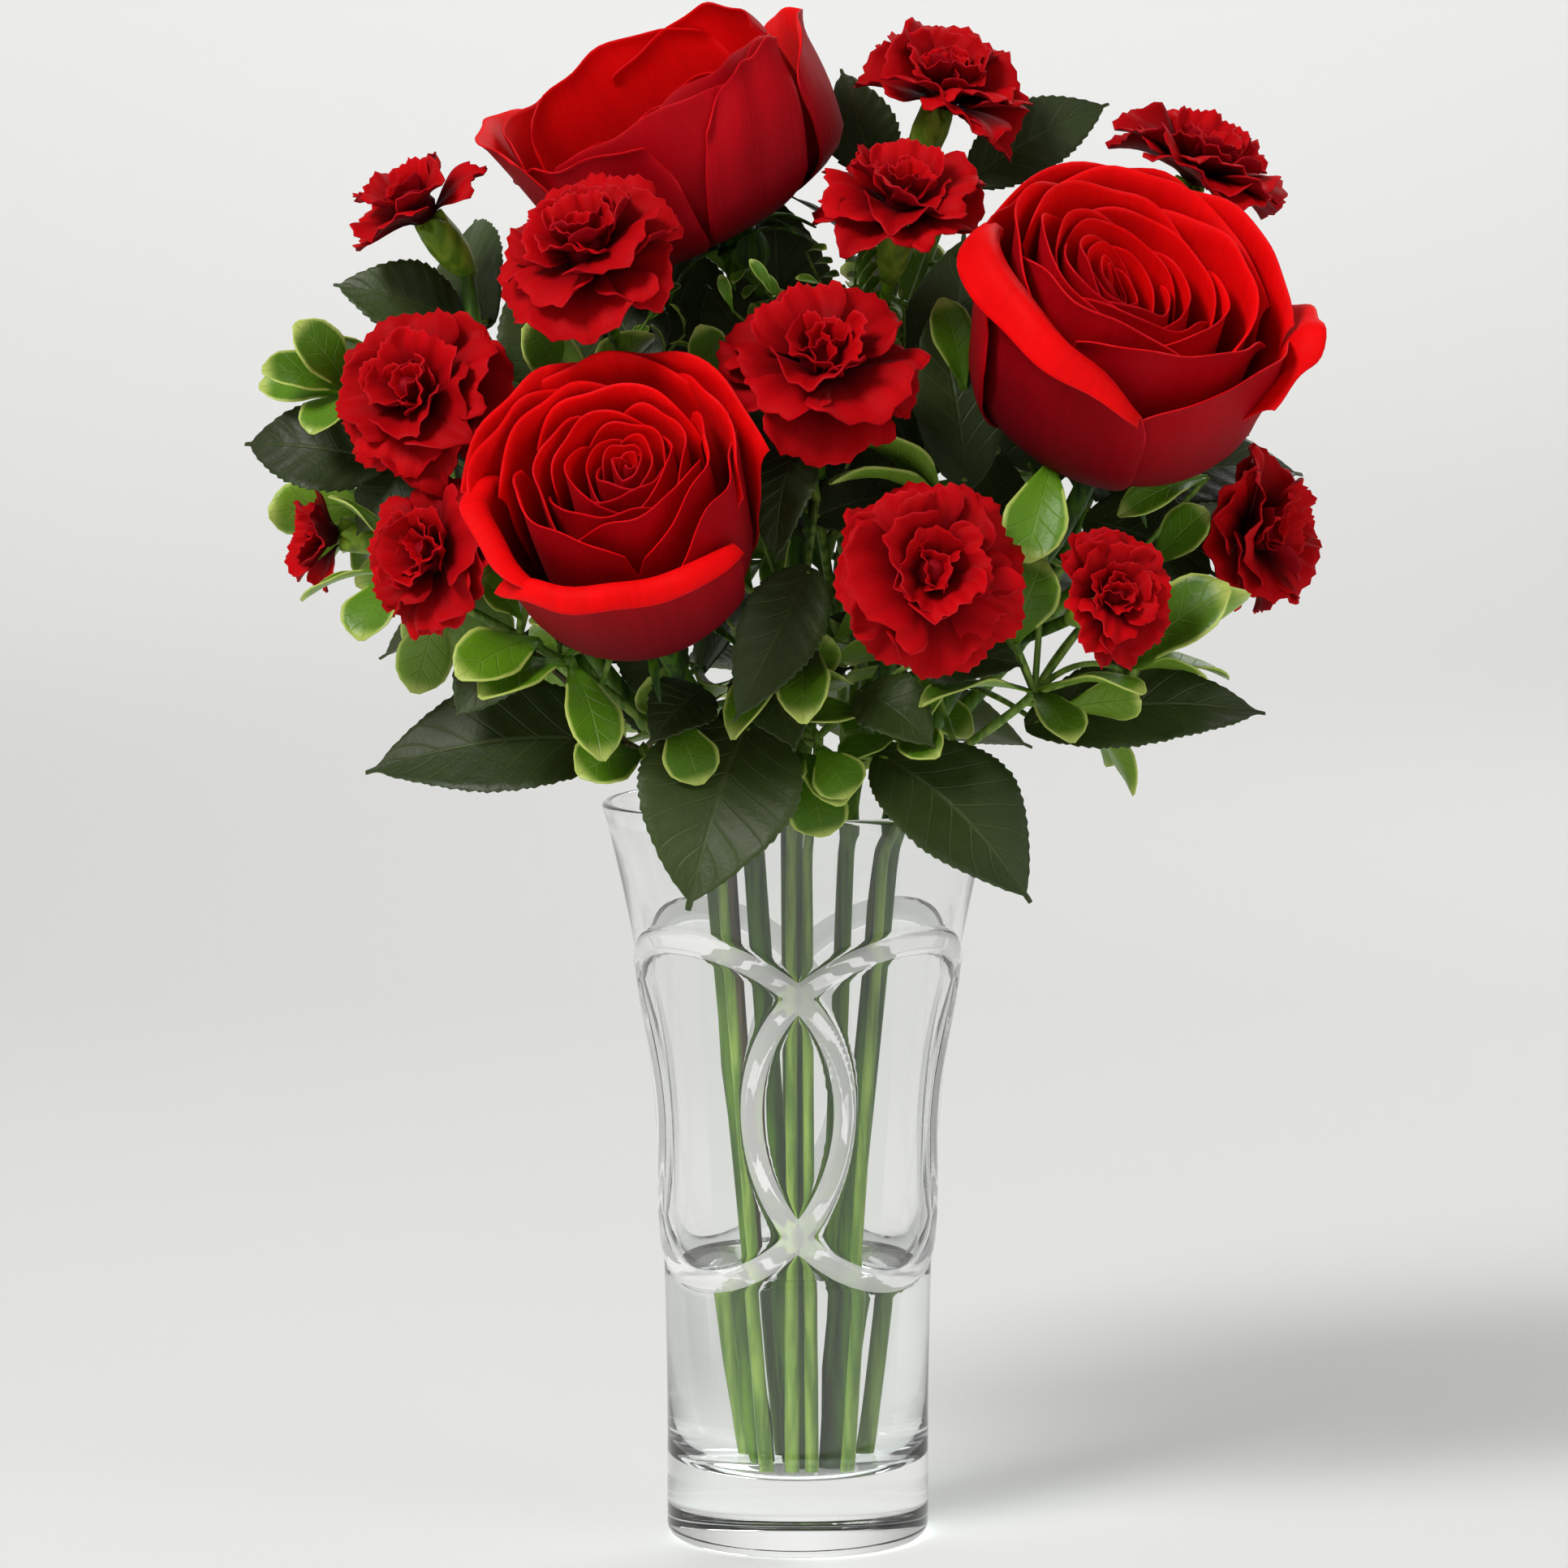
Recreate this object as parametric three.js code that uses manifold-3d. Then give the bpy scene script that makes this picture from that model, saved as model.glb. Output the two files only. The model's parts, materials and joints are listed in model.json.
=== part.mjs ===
// Roses and small carnations with two kinds of greenery, standing in a clear flared vase of water.
// Millimetres, +Z up. The origin is the middle of the vase's underside, and -Y is the front.
import * as THREE from 'three';
import { mergeVertices } from 'three/addons/utils/BufferGeometryUtils.js';
import Module from 'manifold-3d';

const wasm = await Module();
wasm.setup();

const seatGap = 0.3;
const footGap = 0.75;
const clearGap = 0.35;
const goldenAngle = 137.5;
const up = new THREE.Vector3(0, 0, 1);

// The vase: outer and inner walls as radius and height, and raised ovals round its waist
const vaseHeight = 188;
const floorHeight = 18;
const vaseOuter = [
  [0, 0], [29.5, 0], [33.1, 3.6], [33.3, 45], [34.5, 85], [37.1, 120], [41, 150], [47.7, 181],
  [49.3, vaseHeight - 1.2],
];
const vaseInner = [
  [48.4, vaseHeight], [46.4, vaseHeight - 1.2], [38, 150], [32.6, 98], [30.6, 70], [26.6, 28],
  [20.5, floorHeight], [0, floorHeight],
];
const vaseSides = 24;
const ovals = { count: 4, halfAngle: 63.5, middle: 112.5, halfHeight: 43, width: 6.4, rise: 1.7, root: 1.2 };
const ovalSteps = 20;
const firstWallPoint = 2;
const waterLevel = 70;

// Where the stems stand on the vase's floor, where they pass its mouth, and how they bend above it
const straightTo = 172;
const bendReach = { start: 0.4, end: 0.26 };
const stemTaper = 0.85;
const rows = {
  front: [-14, -27], second: [-8, -15], middle: [-1, -2], fourth: [5.6, 9], fifth: [12, 18], back: [16.4, 26],
};

// The roses: where each head sits on its hip, which way it faces, and its size
const roses = {
  top: {
    base: [-16, -3, 331], facing: [-0.48, -0.16, 0.86], radius: 39, height: 44, flare: 6, spin: 20,
    foot: ['middle', 0], rim: -1.7,
  },
  right: {
    base: [74, -25, 280], facing: [0.17, -0.57, 0.8], radius: 38, height: 60, flare: 4.5, spin: 140,
    foot: ['second', 7], rim: 23.5,
  },
  front: {
    base: [-36, -54, 241], facing: [-0.2, -0.68, 0.7], radius: 33.5, height: 54, flare: 3.5, spin: 250,
    foot: ['second', 0.4], rim: -11.9,
  },
};
const rosePetals = {
  count: 10, narrow: 5, firstRadius: 5, thickness: 0.8, rows: [0, 0.26, 0.66, 1], seat: 2,
  innerAngle: 95, outerAngle: 52, innerCup: 14, outerCup: 24, edgeDrop: 0.17, openFrom: 0.62, closing: 0.28,
};
const roseStem = { radius: 3, sides: 6, hip: 6.2, hipDepth: 12 };
const sepal = { count: 5, length: 21, width: 7, thickness: 0.8, leastDroop: 0.25, mostDroop: 0.6 };

// The sprays of small carnations: each has one stem, forks on it, and a branch to every head
const carnation = { lobes: 5, perLobe: 3, thickness: 0.8, notch: 0.62, tooth: 0.06, ruffle: 0.06, top: 0.42 };
const carnationRings = [
  { root: [0.22, 0], reach: 0.8, tilt: 9, shift: 0, valley: [0.25, 0.14] },
  { root: [0.25, 0.14], reach: 0.66, tilt: 36, shift: 1, valley: [0.2, 0.32] },
  { root: [0.2, 0.32], reach: 0.5, tilt: 68, shift: 0, valley: null },
];
const headSeat = 0.25;
const calyx = { length: 19, neck: 2.2, belly: 4.6, mouth: 4.1, sides: 5 };
const branchRadius = { fork: 1.7, neck: 1.6 };
const sprays = {
  left: {
    foot: ['middle', -6.8], rim: -23.1, radius: 2.4, forks: [[-52, -18, 228], [-72, -14, 262]],
    heads: {
      carnation_01: { centre: [-95, -10, 338], facing: [-0.55, -0.35, 0.75], radius: 19, from: 'end' },
      carnation_06: { centre: [-94, -44, 293], facing: [-0.45, -0.78, 0.45], radius: 21.5, from: 1 },
      carnation_08: { centre: [-90, -54, 254], facing: [-0.6, -0.75, 0.25], radius: 18.5, from: 0 },
      carnation_09: { centre: [-118, -14, 256], facing: [-0.95, -0.25, 0.05], radius: 13.5, from: 0 },
    },
  },
  top: {
    foot: ['fourth', -0.5], rim: -1, radius: 2.4, forks: [[12, 14, 250], [20, 10, 300]],
    heads: {
      carnation_03: { centre: [37, 0, 367], facing: [0.3, -0.45, 0.84], radius: 20.5, from: 'end' },
      carnation_04: { centre: [26, -36, 340], facing: [0.15, -0.5, 0.85], radius: 19.5, from: 1 },
      carnation_07: { centre: [6, -64, 302], facing: [0.05, -0.8, 0.6], radius: 24, from: 0 },
    },
  },
  middle: {
    foot: ['middle', 6.3], rim: 12.7, radius: 2.3, forks: [[19, -22, 215]],
    heads: {
      carnation_10: { centre: [32, -85, 252], facing: [0.15, -0.93, 0.3], radius: 22, from: 'end' },
      carnation_11: { centre: [76, -70, 245], facing: [0.4, -0.85, 0.3], radius: 14.5, from: 0 },
    },
  },
  right: {
    foot: ['fourth', 6.3], rim: 23, radius: 2.4, forks: [[56, 16, 226], [80, 15, 282]],
    heads: {
      carnation_05: { centre: [101, 5, 348], facing: [0.42, -0.22, 0.86], radius: 21.5, from: 'end' },
      carnation_12: { centre: [115, -20, 257], facing: [0.85, -0.5, 0.1], radius: 20.5, from: 0 },
    },
  },
  back: {
    foot: ['fifth', -1.5], rim: -11.5, radius: 2.4, forks: [[-14, 34, 228], [-10, 48, 262]],
    heads: {
      carnation_13: { centre: [12, 68, 292], facing: [0.1, 0.9, 0.4], radius: 20, from: 'end' },
      carnation_14: { centre: [-58, 54, 312], facing: [-0.55, 0.7, 0.45], radius: 20, from: 0 },
      carnation_02: { centre: [-51, -66, 329], facing: [-0.22, -0.87, 0.43], radius: 22, from: 1 },
    },
  },
};

// Large toothed leaves: the stem they grow on, their root and tip, width, and the way they face
const toothedLeaf = {
  thickness: 0.8, rows: 6, tooth: 0.07, toothLean: 0.35, fold: 0.1, arch: 0.1, droop: 0.05, stalk: 0.9,
};
const toothedStems = {
  low: {
    foot: ['second', -6.5], rim: -17.6, radius: 1.5, top: [-42, -32, 205], facing: [-0.8, -0.5, 0.5],
    leaves: [{ root: [-43, -33, 206], tip: [-107, -34, 200], width: 32, face: [0, -0.8, 0.6] }],
  },
  left: {
    foot: ['fourth', -7], rim: -22.5, radius: 1.5, top: [-80, 6, 306], facing: [-0.6, 0, 0.8],
    leaves: [
      { root: [-102, -20, 274], tip: [-138, -12, 279], width: 24, face: [0, -0.9, 0.4] },
      { root: [-84, 4, 308], tip: [-116, 2, 318], width: 20, face: [0, -0.9, 0.4] },
      { root: [-62, 30, 232], tip: [-108, 46, 222], width: 30, face: [-0.3, 0.4, 0.8] },
    ],
  },
  front: {
    foot: ['front', 3], rim: 2.2, radius: 1.5, top: [5, -42, 208], facing: [0, -0.6, 0.8],
    leaves: [
      { root: [-12, -47, 212], tip: [-27, -72, 170], width: 40, face: [-0.1, -0.8, 0.5] },
      { root: [20, -43, 204], tip: [57, -62, 171], width: 34, face: [0.3, -0.8, 0.5] },
    ],
  },
  centre: {
    foot: ['fifth', 5.8], rim: 12.5, radius: 1.5, top: [2, -46, 282], facing: [-0.1, -0.6, 0.8],
    leaves: [
      { root: [0, -52, 281], tip: [-6, -70, 254], width: 17, face: [-0.3, -0.8, 0.5] },
      { root: [3, -60, 251], tip: [-15, -78, 216], width: 20, face: [0.1, -0.9, 0.3] },
    ],
  },
  right: {
    foot: ['fifth', 11.5], rim: 22.5, radius: 1.5, top: [84, 6, 262], facing: [0.7, 0.1, 0.7],
    leaves: [
      { root: [56, -35, 210], tip: [116, -27, 214], width: 25, face: [0, -0.8, 0.6] },
      { root: [78, -8, 266], tip: [127, -5, 284], width: 27, face: [0, -0.7, 0.7] },
      { root: [88, 10, 260], tip: [114, 20, 280], width: 22, face: [0, -0.7, 0.7] },
    ],
  },
  back: {
    foot: ['back', -1.5], rim: -3, radius: 1.5, top: [38, 26, 338], facing: [0.3, 0.1, 0.95],
    leaves: [
      { root: [43, 16, 343], tip: [77, 13, 365], width: 20, face: [0, -0.9, 0.4] },
      { root: [20, 26, 344], tip: [11, 24, 371], width: 18, face: [0, -1, 0.1] },
      { root: [8, 50, 214], tip: [12, 92, 196], width: 38, face: [0, 0.5, 0.8] },
      { root: [-24, 52, 240], tip: [-44, 90, 236], width: 30, face: [0, 0.6, 0.8] },
      { root: [46, 36, 230], tip: [92, 60, 222], width: 30, face: [0.2, 0.4, 0.8] },
    ],
  },
};

// Small glossy leaves in whorls: each whorl's place and axis, and the leaf tips that are placed by hand
const glossyLeaf = {
  thickness: 0.8, length: 27, width: 12.5, outline: [[0.02, 0.1], [0.62, 1], [1, 0.42]],
  fold: 0.12, bow: 0.12, extraSpread: 55, bud: 2.4, stalk: 1.1,
};
const glossyStems = {
  low: {
    foot: ['front', -6.6], rim: -20, radius: 1.6, top: [-98, -36, 248], facing: [-0.8, -0.1, 0.5],
    whorls: [
      { at: [-38, -44, 204], tips: [[-54, -60, 200]], extra: 0 },
      { at: [-56, -44, 226], tips: [[-92, -62, 227], [-77, -70, 219], [-48, -68, 204]], extra: 0 },
      { at: [-98, -36, 248], tips: [[-106, -52, 232], [-122, -34, 240], [-116, -34, 266]], extra: 0 },
      { at: [-52, -24, 290], tips: [[-70, -38, 312], [-36, -34, 306]], extra: 0 },
    ],
  },
  left: {
    foot: ['fifth', -8.5], rim: -23.5, radius: 1.6, top: [-106, 0, 290], facing: [-0.3, 0, 0.95],
    whorls: [
      { at: [-106, 0, 290], tips: [[-118, -22, 304], [-124, 14, 300]], extra: 1 },
      { at: [-66, 26, 262], tips: [[-84, 44, 280]], extra: 2 },
    ],
  },
  front: {
    foot: ['front', -1.2], rim: -1.9, radius: 1.6, top: [2, -50, 232], facing: [0, -0.7, 0.7],
    whorls: [
      { at: [2, -50, 232], tips: [[-17, -74, 214], [1, -80, 214], [28, -78, 211]], extra: 0 },
      { at: [1, -40, 204], tips: [[10, -58, 192], [-8, -60, 194]], extra: 0 },
    ],
  },
  right: {
    foot: ['front', 10.6], rim: 21.5, radius: 1.6, top: [58, -42, 219], facing: [0.5, -0.4, 0.6],
    whorls: [
      { at: [58, -42, 219], tips: [[30, -60, 216], [84, -58, 219], [66, -64, 208]], extra: 0 },
      { at: [82, -38, 224], tips: [[110, -50, 243], [100, -44, 222]], extra: 1 },
      { at: [36, -38, 266], tips: [[15, -54, 280], [57, -68, 292], [50, -60, 250], [8, -58, 270]], extra: 0 },
    ],
  },
  back: {
    foot: ['back', 5.6], rim: 12.4, radius: 1.6, top: [30, 40, 300], facing: [0.3, 0.4, 0.85],
    whorls: [
      { at: [30, 40, 300], tips: [[34, 52, 326]], extra: 2 },
      { at: [64, 40, 268], tips: [[88, 52, 280]], extra: 2 },
      { at: [-30, 40, 268], tips: [[-44, 60, 286]], extra: 1 },
      { at: [-16, 34, 318], tips: [[-26, 44, 344]], extra: 1 },
    ],
  },
};

const colours = {
  glass: '#eef3f2', water: '#d8e6e6', rosePetal: '#c8060e', carnationPetal: '#8e0713', roseGreen: '#5f8a2e',
  carnationGreen: '#8fb05c', toothedLeaf: '#1f2f1c', glossyLeaf: '#4f7f2a',
};

const vec = ([x, y, z]) => new THREE.Vector3(x, y, z);
const mix = THREE.MathUtils.lerp;
const radians = THREE.MathUtils.degToRad;

// A steady fraction from 0 to 1 for a whole number
function draw(number) {
  const value = Math.sin(number * 12.9898 + 4.137) * 43758.5453;
  return value - Math.floor(value);
}

function geometryFrom(points, faces) {
  const geometry = new THREE.BufferGeometry();
  const numbers = points.flatMap((point) => point.toArray());
  geometry.setAttribute('position', new THREE.Float32BufferAttribute(numbers, 3));
  geometry.setIndex(faces.flat());
  return geometry;
}

// A closed geometry as a solid, with its faces turned outwards
function solidOf(geometry) {
  const plain = geometry.clone();
  plain.deleteAttribute('normal');
  plain.deleteAttribute('uv');
  const merged = mergeVertices(plain, 1e-3);
  const position = merged.attributes.position;
  const faces = [];
  let volume = 0;
  const [a, b, c] = [new THREE.Vector3(), new THREE.Vector3(), new THREE.Vector3()];
  for (let i = 0; i < merged.index.count; i += 3) {
    const face = [0, 1, 2].map((corner) => merged.index.getX(i + corner));
    if (new Set(face).size === 3) {
      faces.push(face);
      a.fromBufferAttribute(position, face[0]);
      b.fromBufferAttribute(position, face[1]);
      c.fromBufferAttribute(position, face[2]);
      volume += a.dot(b.cross(c));
    }
  }
  const triVerts = new Uint32Array(faces.flatMap((face) => (volume < 0 ? face.toReversed() : face)));
  const vertProperties = new Float32Array(position.array);
  return new wasm.Manifold(new wasm.Mesh({ numProp: 3, vertProperties, triVerts }));
}

const join = (solids) => solids.reduce((whole, solid) => whole.add(solid));

// A thin closed sheet from rows of points, split into triangles alike on both faces
function sheet(grid, thickness) {
  const last = grid.length - 1;
  const across = grid[0].length - 1;
  const sides = [[], []];
  grid.forEach((row, i) => row.forEach((point, j) => {
    const alongRow = row[Math.min(j + 1, across)].clone().sub(row[Math.max(j - 1, 0)]);
    const alongColumn = grid[Math.min(i + 1, last)][j].clone().sub(grid[Math.max(i - 1, 0)][j]);
    const offset = alongRow.cross(alongColumn).normalize().multiplyScalar(thickness / 2);
    sides[0].push(point.clone().add(offset));
    sides[1].push(point.clone().sub(offset));
  }));
  const size = sides[0].length;
  const at = (i, j) => i * (across + 1) + j;
  const faces = [];
  for (let i = 0; i < last; i += 1) {
    for (let j = 0; j < across; j += 1) {
      const [a, b, c, d] = [at(i, j), at(i, j + 1), at(i + 1, j + 1), at(i + 1, j)];
      faces.push([a, b, c], [a, c, d], [a + size, c + size, b + size], [a + size, d + size, c + size]);
    }
  }
  const edge = [];
  for (let j = 0; j < across; j += 1) edge.push(at(0, j));
  for (let i = 0; i < last; i += 1) edge.push(at(i, across));
  for (let j = across; j > 0; j -= 1) edge.push(at(last, j));
  for (let i = last; i > 0; i -= 1) edge.push(at(i, 0));
  edge.forEach((p, k) => {
    const q = edge[(k + 1) % edge.length];
    faces.push([q, p, p + size], [q, p + size, q + size]);
  });
  return solidOf(geometryFrom([...sides[0], ...sides[1]], faces));
}

// A closed tube through a list of points, with a radius at each
function tube(points, radii, sides) {
  const vertices = [];
  const faces = [];
  const last = points.length - 1;
  let side = null;
  points.forEach((point, i) => {
    const along = points[Math.min(i + 1, last)].clone().sub(points[Math.max(i - 1, 0)]).normalize();
    const start = side ?? (Math.abs(along.z) > 0.9 ? new THREE.Vector3(1, 0, 0) : up);
    side = start.clone().sub(along.clone().multiplyScalar(start.dot(along))).normalize();
    const other = along.clone().cross(side);
    for (let k = 0; k < sides; k += 1) {
      const angle = (2 * Math.PI * k) / sides;
      vertices.push(point.clone().addScaledVector(side, radii[i] * Math.cos(angle))
        .addScaledVector(other, radii[i] * Math.sin(angle)));
    }
  });
  for (let i = 0; i < last; i += 1) {
    for (let k = 0; k < sides; k += 1) {
      const [a, b] = [i * sides + k, i * sides + ((k + 1) % sides)];
      faces.push([a, b, b + sides], [a, b + sides, a + sides]);
    }
  }
  for (let k = 1; k < sides - 1; k += 1) {
    const end = last * sides;
    faces.push([0, k + 1, k], [end, end + k, end + k + 1]);
  }
  return solidOf(geometryFrom(vertices, faces));
}

function lathe(profile, sides) {
  const points = profile.map(([radius, height]) => new THREE.Vector2(radius, height));
  return solidOf(new THREE.LatheGeometry(points, sides).rotateX(Math.PI / 2));
}

// Turns the local +Z axis to a direction, after a turn about it
function aim(facing, spin = 0) {
  const turn = new THREE.Quaternion().setFromUnitVectors(up, vec(facing).normalize());
  return turn.multiply(new THREE.Quaternion().setFromAxisAngle(up, radians(spin)));
}

const placing = (place, turn) => new THREE.Matrix4().compose(place, turn, new THREE.Vector3(1, 1, 1));
const placed = (solid, place, turn) => solid.transform(placing(place, turn).elements);

const group = new THREE.Group();
const pieces = [];

function addPiece(name, solid, color, roughness, place = new THREE.Vector3(), turn = new THREE.Quaternion()) {
  const { vertProperties, triVerts } = solid.getMesh();
  const geometry = new THREE.BufferGeometry();
  geometry.setAttribute('position', new THREE.BufferAttribute(vertProperties, 3));
  geometry.setIndex(new THREE.BufferAttribute(triVerts, 1));
  geometry.computeVertexNormals();
  const mesh = new THREE.Mesh(geometry, new THREE.MeshStandardMaterial({ color, roughness, metalness: 0 }));
  mesh.name = name;
  mesh.position.copy(place);
  mesh.quaternion.copy(turn);
  group.add(mesh);
  pieces.push({ name, solid: placed(solid, place, turn) });
}

// The vase
function vaseRadius(height) {
  const wall = vaseOuter.slice(firstWallPoint);
  const next = Math.max(1, wall.findIndex(([, z]) => z >= height));
  const [[lowRadius, low], [highRadius, high]] = [wall[next - 1], wall[next]];
  return mix(lowRadius, highRadius, (height - low) / (high - low));
}

function ovalBand(middleAngle) {
  const section = [
    [-ovals.width / 2, -ovals.root], [ovals.width / 2, -ovals.root], [0, ovals.rise],
  ];
  const onWall = (t) => {
    const angle = radians(middleAngle + ovals.halfAngle * Math.cos(t));
    const height = ovals.middle + ovals.halfHeight * Math.sin(t);
    const out = new THREE.Vector3(Math.sin(angle), -Math.cos(angle), 0);
    return { out, point: out.clone().multiplyScalar(vaseRadius(height)).setZ(height) };
  };
  const vertices = [];
  const faces = [];
  for (let i = 0; i < ovalSteps; i += 1) {
    const t = (2 * Math.PI * i) / ovalSteps;
    const { out, point } = onWall(t);
    const along = onWall(t + 0.01).point.sub(onWall(t - 0.01).point).normalize();
    const acrossBand = along.clone().cross(out).normalize();
    section.forEach(([a, b], k) => {
      vertices.push(point.clone().addScaledVector(acrossBand, a).addScaledVector(out, b));
      const next = (k + 1) % section.length;
      const [p, q] = [i * section.length, ((i + 1) % ovalSteps) * section.length];
      faces.push([p + k, p + next, q + next], [p + k, q + next, q + k]);
    });
  }
  return solidOf(geometryFrom(vertices, faces));
}

function makeVase() {
  const body = lathe([...vaseOuter, ...vaseInner], vaseSides);
  const bands = Array.from({ length: ovals.count }, (_, k) => ovalBand(45 + k * (360 / ovals.count)));
  addPiece('vase', join([body, ...bands]), colours.glass, 0.05);
}

// Stems: straight in the vase, then one smooth bend to where they end
function stemPoints({ foot, rim }, end, facing, steps = 5) {
  const [row, x] = foot;
  const low = new THREE.Vector3(x, rows[row][0], floorHeight + footGap);
  const atRim = new THREE.Vector3(rim, rows[row][1], vaseHeight);
  const bend = low.clone().lerp(atRim, (straightTo - low.z) / (atRim.z - low.z));
  const reach = bend.distanceTo(end);
  const leaving = atRim.clone().sub(low).setLength(bendReach.start * reach).add(bend);
  const arriving = end.clone().addScaledVector(facing, -bendReach.end * reach);
  return [low, ...new THREE.CubicBezierCurve3(bend, leaving, arriving, end).getPoints(steps)];
}

const taper = (points, from, to) => points.map((_, i) => mix(from, to, i / (points.length - 1)));
const stemHoles = [];

function standingStem(points, radius, sides) {
  const wide = (radius + clearGap) / Math.cos(Math.PI / sides);
  const below = points[0].clone().lerp(points[1], -0.03);
  const above = points[0].clone().lerp(points[1], 0.5);
  stemHoles.push(tube([below, above], [wide, wide], sides));
  return tube(points, taper(points, radius, radius * stemTaper), sides);
}

// A rose: cupped petals nested one outside the next, each a golden angle on from the last
function rosePetal(k, { radius, height, flare }) {
  const { count, narrow, firstRadius, seat, edgeDrop, openFrom, closing } = rosePetals;
  const share = k / (count - 1);
  const pitch = (radius - firstRadius) / (count - 1);
  const reach = firstRadius + pitch * k;
  const middle = radians(goldenAngle * k);
  const halfAngle = radians(mix(rosePetals.innerAngle, rosePetals.outerAngle, Math.sqrt(share)));
  const length = height * (0.88 + 0.12 * Math.sin(Math.PI * Math.min(1, share * 0.8 + 0.1)));
  const cupDepth = mix(rosePetals.innerCup, rosePetals.outerCup, share);
  const across = k < narrow ? 3 : 4;
  const grid = rosePetals.rows.map((v) => Array.from({ length: across + 1 }, (_, j) => {
    const u = (2 * j) / across - 1;
    const rise = v * (1 - edgeDrop * Math.abs(u) ** 3);
    const z = seat + rise * length;
    const cup = Math.sqrt(1 - (1 - Math.min(1, z / cupDepth)) ** 2);
    const open = Math.max(0, rise - openFrom) / (1 - openFrom);
    const lean = mix(-closing * reach, flare, Math.sqrt(share)) * open * open;
    const curl = v === 1 ? mix(0, flare, share) : 0;
    const width = 0.5 + 0.5 * Math.sin((Math.PI / 2) * Math.min(1, v / 0.6));
    const angle = middle + u * halfAngle * width;
    const out = v === 0 ? Math.min(reach, firstRadius) : reach * cup + lean + curl + 0.3 * pitch * u;
    return new THREE.Vector3(out * Math.cos(angle), out * Math.sin(angle), z - 0.5 * curl);
  }));
  return sheet(grid, rosePetals.thickness);
}

function roseCore({ radius }) {
  const size = radius * 0.36;
  return lathe([[0, 0], [size * 0.55, 0], [size, 5], [size, 12], [0, 20]], 6);
}

function makeRose(name, rose) {
  const facing = vec(rose.facing).normalize();
  const turn = aim(rose.facing, rose.spin);
  const base = vec(rose.base);
  const petals = Array.from({ length: rosePetals.count }, (_, k) => rosePetal(k, rose));
  addPiece(`rose_bloom_${name}`, join([roseCore(rose), ...petals]), colours.rosePetal, 0.55, base, turn);

  const { hip, hipDepth, sides } = roseStem;
  const hipSolid = lathe([
    [0, -hipDepth], [roseStem.radius, -hipDepth], [hip * 0.9, -hipDepth * 0.75], [hip, -hipDepth * 0.45],
    [hip * 0.8, -seatGap], [0, -seatGap],
  ], sides);
  const sepals = Array.from({ length: sepal.count }, (_, k) => {
    const angle = radians((360 / sepal.count) * k + 20);
    const along = new THREE.Vector3(Math.cos(angle), Math.sin(angle), 0);
    const across = new THREE.Vector3(-Math.sin(angle), Math.cos(angle), 0);
    const droop = mix(sepal.leastDroop, sepal.mostDroop, draw(k + rose.spin));
    const grid = [[0, 0.5], [0.4, 1], [1, 0.12]].map(([t, width]) => [-1, 1].map((u) => {
      const spot = along.clone().multiplyScalar(hip * 0.6 + t * sepal.length);
      spot.z = -2.4 - droop * sepal.length * t * t;
      return spot.addScaledVector(across, (u * width * sepal.width) / 2);
    }));
    return sheet(grid, sepal.thickness);
  });
  const head = placed(join([hipSolid, ...sepals]), base, turn);
  const end = base.clone().addScaledVector(facing, 3 - hipDepth);
  const stem = standingStem(stemPoints(rose, end, facing), roseStem.radius, sides);
  addPiece(`rose_stem_${name}`, join([stem, head]), colours.roseGreen, 0.5);
}

// A small carnation: one skin that runs out and back through rings of lobed, toothed, ruffled petals
function carnationSkin(size, seed) {
  const samples = carnation.lobes * carnation.perLobe;
  const ring = (place) => Array.from({ length: samples }, (_, k) => {
    const angle = (2 * Math.PI * k) / samples;
    const [radius, height] = place(k);
    return new THREE.Vector3(radius * Math.cos(angle), radius * Math.sin(angle), height).multiplyScalar(size);
  });
  const rings = [ring(() => carnationRings[0].root)];
  carnationRings.forEach(({ root, reach, tilt, shift, valley }, r) => {
    const [cos, sin] = [Math.cos(radians(tilt)), Math.sin(radians(tilt))];
    const half = carnation.thickness / size / 2;
    const edge = (side) => ring((k) => {
      const part = (k + shift) % carnation.perLobe;
      const wave = draw(seed * 17 + r * 41 + k) - 0.5;
      const long = reach * (part === 0 ? carnation.notch : 1 + 2 * carnation.tooth * wave);
      const lift = carnation.ruffle * (k % 2 ? 1 : -1) + 0.08 * wave;
      return [
        root[0] + long * cos - (side * half + lift) * sin,
        root[1] + long * sin + (side * half + lift) * cos + half,
      ];
    });
    rings.push(...(valley ? [edge(-1), edge(1)] : [edge(0)]));
    if (valley) rings.push(ring(() => valley));
  });
  const points = [...rings.flat(), new THREE.Vector3(), new THREE.Vector3(0, 0, carnation.top * size)];
  const [bottom, top] = [points.length - 2, points.length - 1];
  const faces = [];
  for (let k = 0; k < samples; k += 1) {
    const next = (k + 1) % samples;
    const end = (rings.length - 1) * samples;
    faces.push([bottom, next, k], [top, end + k, end + next]);
    for (let i = 0; i < end; i += samples) {
      faces.push([i + k, i + next, i + next + samples], [i + k, i + next + samples, i + k + samples]);
    }
  }
  return solidOf(geometryFrom(points, faces));
}

// Where a small head sits on its calyx, and where the calyx meets its branch
function headPlace(head) {
  const facing = vec(head.facing).normalize();
  const base = vec(head.centre).addScaledVector(facing, -head.radius * headSeat);
  return { head, facing, base, neck: base.clone().addScaledVector(facing, 2 - calyx.length) };
}

function makeCarnation(name, head, seed) {
  const skin = carnationSkin(head.radius, seed);
  addPiece(name, skin, colours.carnationPetal, 0.6, headPlace(head).base, aim(head.facing, 40 * seed));
}

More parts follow.
